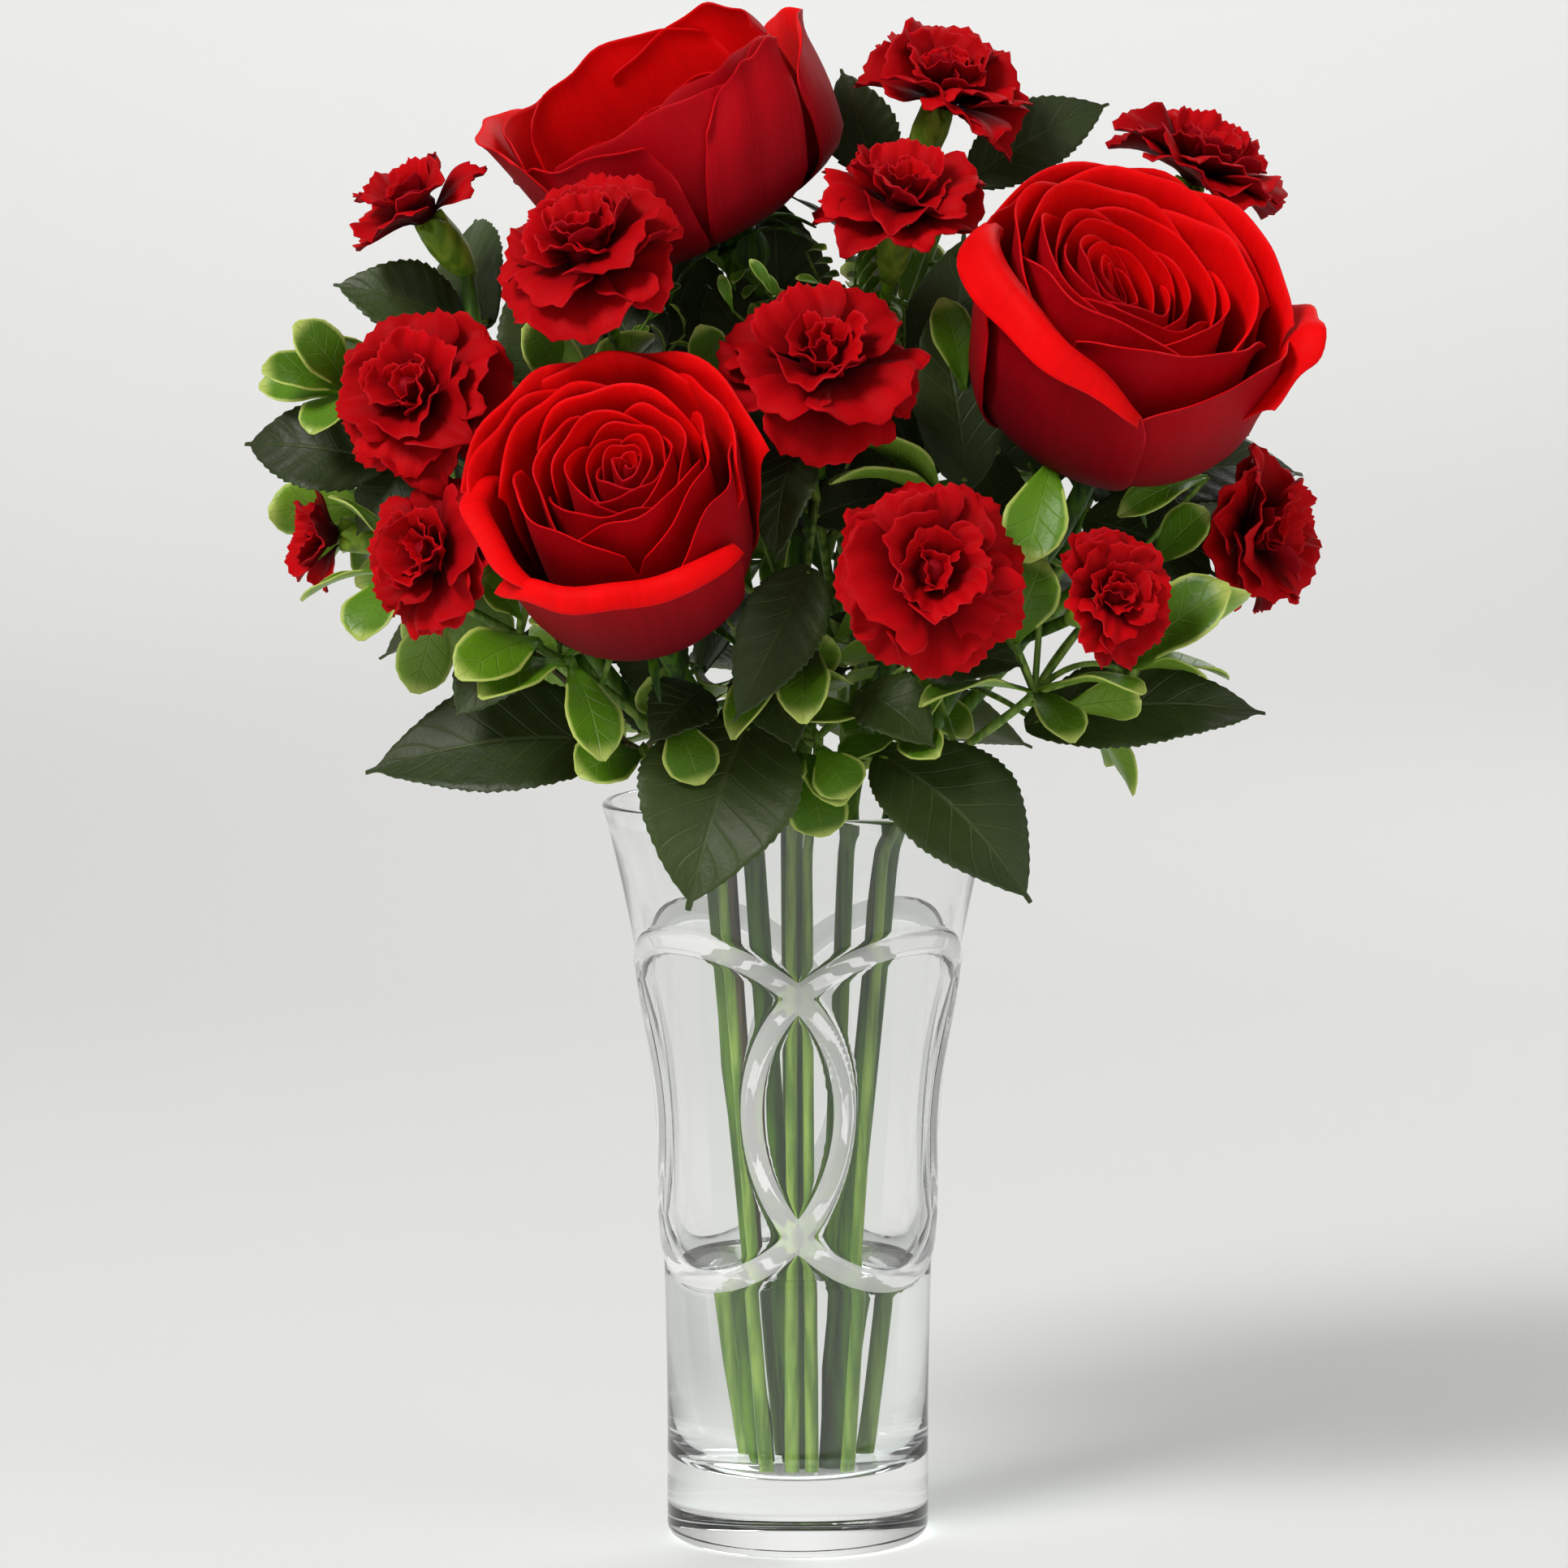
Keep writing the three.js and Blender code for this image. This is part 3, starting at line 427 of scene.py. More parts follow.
leafSurface = {
    "patchScale": 70.0, "patches": 0.3, "streaks": 14.0, "streakAmount": 0.12, "toneRange": 0.7,
    "toneFrom": 0.65, "marginFrom": 0.15, "grainScale": 900.0, "grain": 0.25, "veinDepth": 0.9, "bump": 0.5,
    "relief": 0.0005,
}
leafLooks = {
    "toothed": {
        "upper": (0.028, 0.046, 0.008, 1), "under": (0.066, 0.095, 0.024, 1), "vein": (0.075, 0.105, 0.03, 1),
        "margin": (0.05, 0.09, 0.03, 1), "marginWidth": 0.03, "marginStrength": 0.3, "pairs": 8.0,
        "slant": 1.9, "veinWidth": 0.05, "veinStrength": 0.45, "roughness": 0.5, "coat": 0.04, **leafSurface,
    },
    "glossy": {
        "upper": (0.085, 0.2, 0.006, 1), "under": (0.17, 0.31, 0.025, 1), "vein": (0.22, 0.38, 0.05, 1),
        "margin": (0.52, 0.62, 0.14, 1), "marginWidth": 0.16, "marginStrength": 0.85, "pairs": 6.0,
        "slant": 1.3, "veinWidth": 0.05, "veinStrength": 0.3, "roughness": 0.42, "coat": 0.06, **leafSurface,
    },
}


def makeLeafMaterial(name, look, groups):
    material, tree, shader = newMaterial(name)
    colour = blend(tree, attributeValue(tree, "side"), look["upper"], look["under"])
    colour, patches, _ = addPatches(tree, look, groups, colour)
    veins = useGroup(tree, groups["veins"], Pairs=look["pairs"], Slant=look["slant"], Width=look["veinWidth"])
    colour = blend(tree, calc(tree, "MULTIPLY", veins, look["veinStrength"]), colour, look["vein"])
    edge = useGroup(tree, groups["freeEdge"], Width=look["marginWidth"], From=look["marginFrom"]).outputs[0]
    uneven = calc(tree, "MULTIPLY", edge, calc(tree, "MULTIPLY", patches, look["marginStrength"]), clamp=True)
    colour = blend(tree, uneven, colour, look["margin"])
    setColour(tree, shader, colour, patches, look["roughness"])
    setShader(shader, Specular_IOR_Level=0.3, Coat_Weight=look["coat"], Coat_Roughness=0.35,
              Subsurface_Weight=0.05, Subsurface_Scale=0.001, Subsurface_Radius=(0.4, 1, 0.2))
    cells = addNode(tree, "ShaderNodeTexVoronoi", {"Vector": objectPlace(tree), "Scale": look["grainScale"]})
    grain = calc(tree, "MULTIPLY", cells.outputs["Distance"], look["grain"])
    height = calc(tree, "SUBTRACT", grain, calc(tree, "MULTIPLY", veins, look["veinDepth"]))
    bump(tree, shader, height, look["bump"], look["relief"])
    return material


stemLooks = {
    "rose": {"light": (0.065, 0.17, 0.001, 1), "dark": (0.012, 0.045, 0.001, 1), "roughness": 0.5},
    "carnation": {"light": (0.1, 0.22, 0.003, 1), "dark": (0.025, 0.075, 0.001, 1), "roughness": 0.55},
    "calyx": {"light": (0.27, 0.4, 0.03, 1), "dark": (0.12, 0.24, 0.01, 1), "roughness": 0.5},
    "woody": {"light": (0.11, 0.085, 0.035, 1), "dark": (0.035, 0.03, 0.012, 1), "roughness": 0.6},
    "shoot": {"light": (0.24, 0.37, 0.06, 1), "dark": (0.08, 0.17, 0.015, 1), "roughness": 0.45},
}


stemSurface = {
    "fibres": (420, 420, 24), "contrast": (0.35, 0.65), "patchScale": 45.0, "patches": 0.25, "bump": 0.25,
    "relief": 0.0003,
}


def makeStemMaterial(name, look, groups):
    material, tree, shader = newMaterial(name)
    drawn = addNode(tree, "ShaderNodeMapping", {"Vector": objectPlace(tree), "Scale": stemSurface["fibres"]})
    noise = addNode(tree, "ShaderNodeTexNoise", {"Vector": drawn, "Scale": 1.0, "Detail": 3.0})
    fibres = noise.outputs["Fac"]
    patches = useGroup(tree, groups["mottle"], Scale=stemSurface["patchScale"],
                       Amount=stemSurface["patches"]).outputs[0]
    colour = blend(tree, ramp(tree, fibres, *stemSurface["contrast"]), look["dark"], look["light"])
    setColour(tree, shader, scaled(tree, colour, patches), patches, look["roughness"])
    setShader(shader, Specular_IOR_Level=0.3, Subsurface_Weight=0.08, Subsurface_Scale=0.001,
              Subsurface_Radius=(0.5, 1, 0.2))
    bump(tree, shader, fibres, stemSurface["bump"], stemSurface["relief"])
    return material


clearLooks = {
    "clearGlass": {"ior": 1.5, "tint": (0.985, 0.995, 0.99, 1), "clear": 1.0},
    # painted highlight: the ribs are only half clear, and their white diffuse share stands in for the bright
    # reflections along them
    "ribGlass": {"ior": 1.5, "tint": (0.98, 0.985, 0.985, 1), "clear": 0.52},
    "clearWater": {"ior": 1.33, "tint": (0.985, 0.995, 1, 1), "clear": 1.0},
}
shadowTint = (0.93, 0.95, 0.95, 1)


def makeClearMaterial(name, look, _):  # what it shades is lit through it
    material, tree, shader = newMaterial(name)
    setShader(shader, Base_Color=look["tint"], Roughness=0.0, IOR=look["ior"],
              Transmission_Weight=look["clear"])
    path = addNode(tree, "ShaderNodeLightPath")
    through = addNode(tree, "ShaderNodeBsdfTransparent", {"Color": shadowTint})
    both = addNode(tree, "ShaderNodeMixShader", {0: path.outputs["Is Shadow Ray"], 1: shader, 2: through})
    plug(tree, both, tree.nodes["Material Output"].inputs["Surface"])
    return material


def makeFloorMaterial():
    material, _, shader = newMaterial("paleFloor")
    setShader(shader, Base_Color=floor["colour"], Roughness=floor["roughness"],
              Specular_IOR_Level=floor["gloss"])
    return material


def makeMaterials():
    groups = {
        "freeEdge": makeFreeEdge(), "mottle": makeMottle(), "streaks": makeStreaks(), "veins": makeVeins(),
    }
    found = {}
    kinds = ((makePetalMaterial, petalLooks, "Petal"), (makeLeafMaterial, leafLooks, "Leaf"),
             (makeStemMaterial, stemLooks, "Stem"), (makeClearMaterial, clearLooks, ""))
    for maker, looks, ending in kinds:
        for kind, look in looks.items():
            found[kind + ending] = maker(kind + ending, look, groups)
    return found


# Mesh helpers: a part is points in millimetres, faces, a map, the side and a tone, which also carries painted
# shade

edgeRound = 0.4  # how far a sheet's edge stands out, as a share of its thickness


def sheetPart(grid, thickness, toneAndShade):
    rows, across = grid.shape[:2]
    normal = np.cross(np.gradient(grid, axis=1), np.gradient(grid, axis=0))
    normal /= np.maximum(np.linalg.norm(normal, axis=2, keepdims=True), 1e-9)
    under = (grid + normal * thickness / 2).reshape(-1, 3)
    upper = (grid - normal * thickness / 2).reshape(-1, 3)
    index = np.arange(rows * across).reshape(rows, across)
    a, b, c, d = index[:-1, :-1], index[:-1, 1:], index[1:, 1:], index[1:, :-1]
    size = rows * across
    lower = np.stack([a, b, c, d], axis=-1).reshape(-1, 4)
    faces = [lower, lower[:, ::-1] + size]
    inner = grid[np.clip(np.arange(rows), 1, rows - 2)][:, np.clip(np.arange(across), 1, across - 2)]
    edge = np.concatenate([index[0, :-1], index[:-1, -1], index[-1, :0:-1], index[:0:-1, 0]])
    flat, flatInner = grid.reshape(-1, 3)[edge], inner.reshape(-1, 3)[edge]
    outward = flat - flatInner
    outward /= np.maximum(np.linalg.norm(outward, axis=1, keepdims=True), 1e-9)
    rounded = flat + outward * thickness * edgeRound
    after = np.roll(edge, -1)
    middle = 2 * size + np.arange(len(edge))
    nextMiddle = np.roll(middle, -1)
    faces.append(np.stack([after, edge, middle, nextMiddle], axis=-1))
    faces.append(np.stack([nextMiddle, middle, edge + size, after + size], axis=-1))
    u, v = np.meshgrid(np.linspace(0, 1, across), np.linspace(0, 1, rows))
    place = np.stack([u, v], axis=-1).reshape(-1, 2)
    points = np.concatenate([under, upper, rounded])
    side = np.concatenate([np.ones(size), np.zeros(size), np.full(len(edge), 0.5)])
    return {"points": points, "faces": np.concatenate(faces).tolist(), "side": side,
            "map": np.concatenate([place, place, place[edge]]), "toneAndShade": np.full(len(points), toneAndShade)}


def turnedPart(profile, sides, toneAndShade=0.5, swell=None):  # a closed lathe, from axis to axis
    profile = np.asarray(profile, float)
    ring = profile[1:-1]
    angle = np.linspace(0, 2 * math.pi, sides, endpoint=False)
    points = np.empty((len(ring), sides, 3))
    points[..., 0] = ring[:, :1] * np.sin(angle)
    points[..., 1] = -ring[:, :1] * np.cos(angle)
    points[..., 2] = ring[:, 1:]
    if swell is not None:
        points = swell(points)
    index = np.arange(len(ring) * sides).reshape(len(ring), sides)
    a, b = index[:-1], index[1:]
    faces = np.stack([a, np.roll(a, -1, axis=1), np.roll(b, -1, axis=1), b], axis=-1)
    faces = faces.reshape(-1, 4).tolist()
    first, last = len(ring) * sides, len(ring) * sides + 1
    for k in range(sides):
        following = (k + 1) % sides
        faces.append([first, index[0, following], index[0, k]])
        faces.append([last, index[-1, k], index[-1, following]])
    ends = np.array([[0, 0, profile[0][1]], [0, 0, profile[-1][1]]])
    points = np.concatenate([points.reshape(-1, 3), ends])
    height = (points[:, 2] - points[:, 2].min()) / max(np.ptp(points[:, 2]), 1e-6)
    mapped = np.stack([np.full(len(points), 0.5), height], axis=-1)
    return {"points": points, "faces": faces, "map": mapped, "side": np.ones(len(points)),
            "toneAndShade": np.full(len(points), toneAndShade)}


def movedPart(part, matrix):
    turn = np.array(matrix.to_3x3())
    moved = part["points"] @ turn.T + np.array(matrix.translation) / mm
    return {**part, "points": moved}


def meshFrom(name, parts, material):
    mesh = bpy.data.meshes.new(name)
    starts = np.cumsum([0, *[len(part["points"]) for part in parts]])
    points = np.concatenate([part["points"] for part in parts]) * mm
    faces = [[i + start for i in face] for part, start in zip(parts, starts) for face in part["faces"]]
    mesh.from_pydata(points.tolist(), [], faces)
    loops = np.empty(len(mesh.loops), int)
    mesh.loops.foreach_get("vertex_index", loops)
    mapped = np.concatenate([part["map"] for part in parts])
    mesh.uv_layers.new(name="petalMap").data.foreach_set("uv", mapped[loops].ravel())
    for label in ("side", "toneAndShade"):
        values = np.concatenate([part[label] for part in parts])
        mesh.attributes.new(label, "FLOAT", "POINT").data.foreach_set("value", values)
    mesh.materials.append(material)
    mesh.polygons.foreach_set("use_smooth", [True] * len(mesh.polygons))
    mesh.update()
    return mesh


def addObject(name, mesh):
    piece = bpy.data.objects.new(name, mesh)
    scene.collection.objects.link(piece)
    return piece


def seat(piece, slot, *nodes):
    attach(piece, "root")
    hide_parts(*nodes)


def runTree(name, tree, mesh, values):
    holder = addObject(name, mesh)
    modifier = holder.modifiers.new("build", "NODES")
    modifier.node_group = tree
    for item in tree.interface.items_tree:
        if item.item_type == "SOCKET" and item.in_out == "INPUT" and item.name in values:
            modifier[item.identifier] = values[item.name]
    evaluated = holder.evaluated_get(bpy.context.evaluated_depsgraph_get())
    result = bpy.data.meshes.new_from_object(evaluated)
    bpy.data.objects.remove(holder)
    return result


def joinMeshes(name, meshes):
    holders = [addObject(name, mesh) for mesh in meshes]
    with bpy.context.temp_override(active_object=holders[0], selected_editable_objects=holders):
        if len(holders) > 1:
            bpy.ops.object.join()
    holders[0].name = name
    return holders[0]


# Geometry Nodes: a round stem along each line, and leaves or petals placed on points

def finishTree(tree, geometry, material, result):  # real faces in their material
    real = addNode(tree, "GeometryNodeRealizeInstances", {"Geometry": geometry})
    dressed = addNode(tree, "GeometryNodeSetMaterial", {"Geometry": real, "Material": material})
    plug(tree, dressed, result["Geometry"])
    return tree


def placeCopies(tree, points, collection, pick, turn, size):
    copies = addNode(tree, "GeometryNodeCollectionInfo", {
        "Collection": collection, "Separate Children": True, "Reset Children": True})
    return addNode(tree, "GeometryNodeInstanceOnPoints", {
        "Points": points, "Instance": copies, "Pick Instance": True, "Instance Index": pick,
        "Rotation": turn, "Scale": size})


def makeStemTree():
    tree, given, result = newGeometryTree("sweptStem", {"Sides": ("Int", 14)})
    curve = addNode(tree, "GeometryNodeMeshToCurve", {"Mesh": given["Geometry"]})
    circle = addNode(tree, "GeometryNodeCurvePrimitiveCircle", {"Resolution": given["Sides"], "Radius": 1.0})
    radius = addNode(tree, "GeometryNodeInputNamedAttribute", {"Name": "radius"}, data_type="FLOAT")
    swept = addNode(tree, "GeometryNodeCurveToMesh", {
        "Curve": curve, "Profile Curve": circle, "Scale": radius, "Fill Caps": True})
    smooth = addNode(tree, "GeometryNodeSetShadeSmooth", {"Geometry": swept})
    return finishTree(tree, smooth, given["Material"], result)


def makeLeafTree():
    tree, given, result = newGeometryTree("placedLeaves", {"Leaves": ("Collection", None)})
    pick, turn, size = (
        addNode(tree, "GeometryNodeInputNamedAttribute", {"Name": name}, data_type=kind)
        for name, kind in (("pick", "INT"), ("turn", "FLOAT_VECTOR"), ("size", "FLOAT_VECTOR")))
    placed = placeCopies(tree, given["Geometry"], given["Leaves"], pick, turn, size)
    return finishTree(tree, placed, given["Material"], result)


headForm = {"opening": 0.85, "grown": 0.58, "grownAt": 0.55, "roll": 0.2, "sway": 0.25, "lean": 0.2}


def makeHeadTree():  # petals one after another round the middle, each turned further out than the last
    tree, given, result = newGeometryTree("carnationHead", {
        "Petals": ("Collection", None), "Inner Kinds": ("Int", 3), "Outer Kinds": ("Int", 5),
        "Inner Share": ("Float", 0.45), "Count": ("Int", 16), "Length": ("Float", 0.02),
        "Inner Tilt": ("Float", 0.1), "Outer Tilt": ("Float", 1.5), "Rise": ("Float", 0.004),
        "Spread": ("Float", 0.003), "Seed": ("Int", 1),
    })
    index = addNode(tree, "GeometryNodeInputIndex").outputs[0]

    def chance(low, high, salt):
        seed = calc(tree, "MULTIPLY_ADD", given["Seed"], 10.0, float(salt))
        inputs = {2: low, 3: high, 7: index, 8: seed}
        return addNode(tree, "FunctionNodeRandomValue", inputs, data_type="FLOAT").outputs[1]

    share = calc(tree, "DIVIDE", index, calc(tree, "SUBTRACT", given["Count"], 1.0))
    sway = chance(-headForm["sway"], headForm["sway"], 1)
    around = calc(tree, "ADD", calc(tree, "MULTIPLY", index, goldenAngle), sway)
    opened = calc(tree, "POWER", share, headForm["opening"])
    outside = calc(tree, "GREATER_THAN", share, given["Inner Share"])
    turnIn = calc(tree, "ADD", index, given["Seed"])
    innerKind = calc(tree, "MODULO", turnIn, given["Inner Kinds"])
    outerKind = calc(tree, "ADD", calc(tree, "MODULO", turnIn, given["Outer Kinds"]), given["Inner Kinds"])
    kind = addNode(tree, "ShaderNodeMix", {0: outside, 2: innerKind, 3: outerKind}).outputs[0]
    tiltRange = calc(tree, "SUBTRACT", given["Outer Tilt"], given["Inner Tilt"])
    tilt = calc(tree, "MULTIPLY_ADD", opened, tiltRange, given["Inner Tilt"])
    tilt = calc(tree, "ADD", tilt, chance(-headForm["lean"], headForm["lean"], 2))
    away = calc(tree, "MULTIPLY", share, given["Spread"])
    place = addNode(tree, "ShaderNodeCombineXYZ", {
        0: calc(tree, "MULTIPLY", away, calc(tree, "MULTIPLY", calc(tree, "SINE", around), -1.0)),
        1: calc(tree, "MULTIPLY", away, calc(tree, "COSINE", around)),
        2: calc(tree, "MULTIPLY", calc(tree, "SUBTRACT", 1.0, share), given["Rise"])})
    points = addNode(tree, "GeometryNodePoints", {"Count": given["Count"], "Position": place})
    length = calc(tree, "MULTIPLY", given["Length"], chance(0.9, 1.08, 3))
    grown = ramp(tree, share, 0.0, headForm["grownAt"], headForm["grown"], 1.0)
    length = calc(tree, "MULTIPLY", length, grown)
    size = addNode(tree, "ShaderNodeCombineXYZ", {0: length, 1: length, 2: length})
    turn = addNode(tree, "ShaderNodeCombineXYZ", {
        0: calc(tree, "MULTIPLY", tilt, -1.0), 1: chance(-headForm["roll"], headForm["roll"], 4), 2: around})
    placed = placeCopies(tree, points, given["Petals"], kind, turn, size)
    return finishTree(tree, placed, given["Material"], result)


def sweep(name, lines, tree, material, sides):  # lines: points and radii in millimetres
    mesh = bpy.data.meshes.new(name)
    points, edges, radii = [], [], []
    for route, thick in lines:
        start = len(points)
        points.extend(np.asarray(route) * mm)
        radii.extend(np.asarray(thick) * mm)
        edges.extend((start + i, start + i + 1) for i in range(len(route) - 1))
    mesh.from_pydata([tuple(p) for p in points], edges, [])
    mesh.attributes.new("radius", "FLOAT", "POINT").data.foreach_set("value", radii)
    return runTree(name, tree, mesh, {"Sides": sides, "Material": material})


# The vase: a lathe whose outside swells along the ovals

vase = {  # outlines as radius and level
    "height": 188, "floor": 18, "sides": 320,
    "foot": [(0, 0.9), (14, 0.7), (25, 0.25), (28, 0), (29.8, 0)],
    "footEdge": {"centre": (29.6, 3.6), "radius": 3.6, "from": -80, "to": -5},
    "outer": [(33.2, 3.6), (33.3, 45), (34.5, 85), (37.1, 120), (41, 150), (47.7, 181), (49.3, 186.6)],
    "lip": {"level": 186.7, "radius": 1.25, "from": 15, "to": 165},
    "inner": [(46.9, 186.6), (38, 150), (32.6, 98), (30.6, 70), (28.4, 40), (26.9, 30)],
    "bottom": [(25.7, 25), (24.2, 21.6), (21.8, 19.4), (18.4, 18.4), (12, 18.1), (6, 18)],
    "ribReach": 48, "ribSteps": 150, "lowSteps": 16, "highSteps": 12, "innerSteps": 26, "arcSteps": 8,
    "curveSteps": 24,
}
ovals = {
    # "bright" is how many half widths out from a rib's middle its painted-highlight glass reaches
    "count": 4, "first": 45, "halfAngle": 63.5, "middle": 112.5, "halfHeight": 43, "width": 6.2, "rise": 1.0,
    "bright": 0.92, "steps": 300, "reach": 52, "skin": 0.6, "crown": 0.2, "fadeFrom": 0.5, "fadeTo": 1.1,
}
farShare = 9.0  # stands for a point that no rib is near


def wallRadius(heights):
    radii, levels = zip(*vase["outer"])
    return np.interp(heights, levels, radii)


def ovalLines():
    t = np.linspace(0, 2 * math.pi, ovals["steps"], endpoint=False)
    lines = []
    for k in range(ovals["count"]):
        angle = np.radians(ovals["first"] + k * 360 / ovals["count"] + ovals["halfAngle"] * np.cos(t))
        level = ovals["middle"] + ovals["halfHeight"] * np.sin(t)
        radius = wallRadius(level)
        lines.append(np.stack([radius * np.sin(angle), -radius * np.cos(angle), level], axis=-1))
    return np.concatenate(lines)


def nearestRib(flat):  # each point's distance from a rib's middle, in half widths, and the place there
    lines = ovalLines()
    radius = np.hypot(flat[:, 0], flat[:, 1])
    outside = radius > wallRadius(flat[:, 2]) - ovals["skin"]
    outside &= np.abs(flat[:, 2] - ovals["middle"]) < ovals["reach"]
    share = np.full(len(flat), farShare)
    middle = flat.copy()
    for i in np.flatnonzero(outside):
        away = ((lines - flat[i]) ** 2).sum(axis=1)
        middle[i] = lines[away.argmin()]
        share[i] = math.sqrt(away.min()) / (ovals["width"] / 2)
    return share, middle


def settleEdges(points):  # the grid's corners along a rib's edge move onto it
    flat = points.reshape(-1, 3).copy()
    share, middle = nearestRib(flat)
    share = share.reshape(points.shape[:2])
    beside = np.roll(share, -1, axis=1)
    cells = (share[:-1] + share[1:] + beside[:-1] + beside[1:]) / 4 < ovals["bright"]
    touching = np.zeros(share.shape, int)
    for part in (cells, np.roll(cells, 1, axis=1)):
        touching[:-1] += part
        touching[1:] += part
    edge = np.flatnonzero((touching > 0) & (touching < 4))
    away = flat[edge] - middle[edge]
    away *= ovals["bright"] * ovals["width"] / 2 / np.linalg.norm(away, axis=1, keepdims=True)
    moved = middle[edge] + away
    radius = np.hypot(flat[edge, 0], flat[edge, 1]) + wallRadius(moved[:, 2]) - wallRadius(flat[edge, 2])
    angle = np.arctan2(moved[:, 0], moved[:, 1])
    flat[edge] = np.stack([radius * np.sin(angle), radius * np.cos(angle), moved[:, 2]], axis=-1)
    return flat


def swellOvals(points):
    flat = settleEdges(points)
    radius = np.hypot(flat[:, 0], flat[:, 1])
    share = nearestRib(flat)[0]
    for i in np.flatnonzero(share < ovals["fadeTo"]):
        crown = (1 - ovals["crown"]) + ovals["crown"] * (1 - share[i] ** 2)
        out = ovals["rise"] * crown * (1 - ease(ovals["fadeFrom"], ovals["fadeTo"], share[i]))
        flat[i, :2] *= (radius[i] + out) / radius[i]
    return flat.reshape(points.shape)


def vaseProfile():
    def arc(centre, form):
        turn = np.radians(np.linspace(form["from"], form["to"], vase["arcSteps"]))
        radius = form["radius"]
        return [(centre[0] + radius * math.cos(t), centre[1] + radius * math.sin(t)) for t in turn]

    def curved(points, levels):
        route = throughPoints([(r, z, 0) for r, z in points], vase["curveSteps"])
        order = np.argsort(route[:, 1])
        return [(np.interp(z, route[order, 1], route[order, 0]), z) for z in levels]

    low, high = ovals["middle"] - vase["ribReach"], ovals["middle"] + vase["ribReach"]
    (_, bottom), (outerTop, top) = vase["outer"][0], vase["outer"][-1]
    (innerTop, _), (_, innerLow) = vase["inner"][0], vase["inner"][-1]
    outer = curved(vase["outer"], [*np.linspace(bottom, low, vase["lowSteps"]),
                                   *np.linspace(low, high, vase["ribSteps"])[1:],
                                   *np.linspace(high, top, vase["highSteps"])[1:]])
    inner = curved(vase["inner"], np.linspace(top, innerLow, vase["innerSteps"]))
    foot = [*vase["foot"], *arc(vase["footEdge"]["centre"], vase["footEdge"])]
    lip = arc(((outerTop + innerTop) / 2, vase["lip"]["level"]), vase["lip"])
    return [*foot, *outer, *lip, *inner, *vase["bottom"], (0, vase["floor"])]


def makeVase(materials):
    part = turnedPart(vaseProfile(), vase["sides"], swell=swellOvals)
    piece = addObject("clearVase", meshFrom("clearVase", [part], materials["clearGlass"]))
    # the rib faces take the half-milky glass, a painted highlight along each oval
    piece.data.materials.append(materials["ribGlass"])
    centres = np.empty(len(piece.data.polygons) * 3)
    piece.data.polygons.foreach_get("center", centres)
    onRib = nearestRib(centres.reshape(-1, 3) / mm)[0] < ovals["bright"]
    piece.data.polygons.foreach_set("material_index", onRib.astype(int))
    seat(piece, "glass", "vase")
    print("vase:", len(piece.data.polygons), "faces")


water = {
    "level": 70.0, "sides": 96, "intoGlass": 0.12, "within": 31.2,
    "rim": [(0, 0.9), (0.8, 0.35), (2.2, 0.08), (5, 0)],  # how far inwards, and how high it climbs
}


def makeWater(materials):
    wall = [(r, z) for r, z in vaseProfile()[::-1]
            if vase["floor"] <= z < water["level"] and r < water["within"]]
    top = np.interp(water["level"], [z for r, z in wall], [r for r, z in wall])
    bed = [(r + water["intoGlass"] if r else 0, z - water["intoGlass"]) for r, z in wall]
    edge = top + water["intoGlass"]
    rim = [(edge - inwards, water["level"] + climb) for inwards, climb in water["rim"]]
    part = turnedPart([*bed, *rim, (0, water["level"])], water["sides"])
    piece = addObject("vaseWater", meshFrom("vaseWater", [part], materials["clearWater"]))
    seat(piece, "water", "water")


# Stems

stemFeet = {  # each row's depth at the floor and at the mouth
    "front": (-14, -27), "second": (-8, -15), "middle": (-1, -2), "fourth": (5.6, 9), "fifth": (12, 18),
    "back": (16.4, 26),
}
stemBend = {
    "straightTo": 172, "straightSteps": 12, "start": 0.4, "end": 0.26, "lift": 0.75, "steps": 26,
}
stemJoint = {"shift": 11, "width": 2.2}


def stemRoute(foot, rim, end, facing, steps=None, until=1.0):
    row, x = foot
    low = np.array([x, stemFeet[row][0], vase["floor"] + stemBend["lift"]])
    mouth = np.array([rim, stemFeet[row][1], vase["height"]])
    bend = low + (mouth - low) * (stemBend["straightTo"] - low[2]) / (mouth[2] - low[2])
    end = np.asarray(end, float)
    reach = np.linalg.norm(end - bend)
    leaving = bend + unit(mouth - low) * stemBend["start"] * reach
    arriving = end - unit(facing) * stemBend["end"] * reach
    curve = bezier(bend, leaving, arriving, end, steps or stemBend["steps"])
    curve = curve[:int(round(until * (len(curve) - 1))) + 1]
    straight = [low + (bend - low) * t for t in np.linspace(0, 1, stemBend["straightSteps"], endpoint=False)]
    return np.array([*straight, *curve])


def taper(route, first, last, joints=0.0, spacing=34.0, seed=0):
    along = lengthsAlong(route)
    radius = mix(first, last, along / along[-1])
    if joints:
        offset = (along + seed * stemJoint["shift"]) % spacing - spacing / 2
        radius = radius * (1 + joints * np.exp(-(offset / stemJoint["width"]) ** 2))
    return radius


# Roses

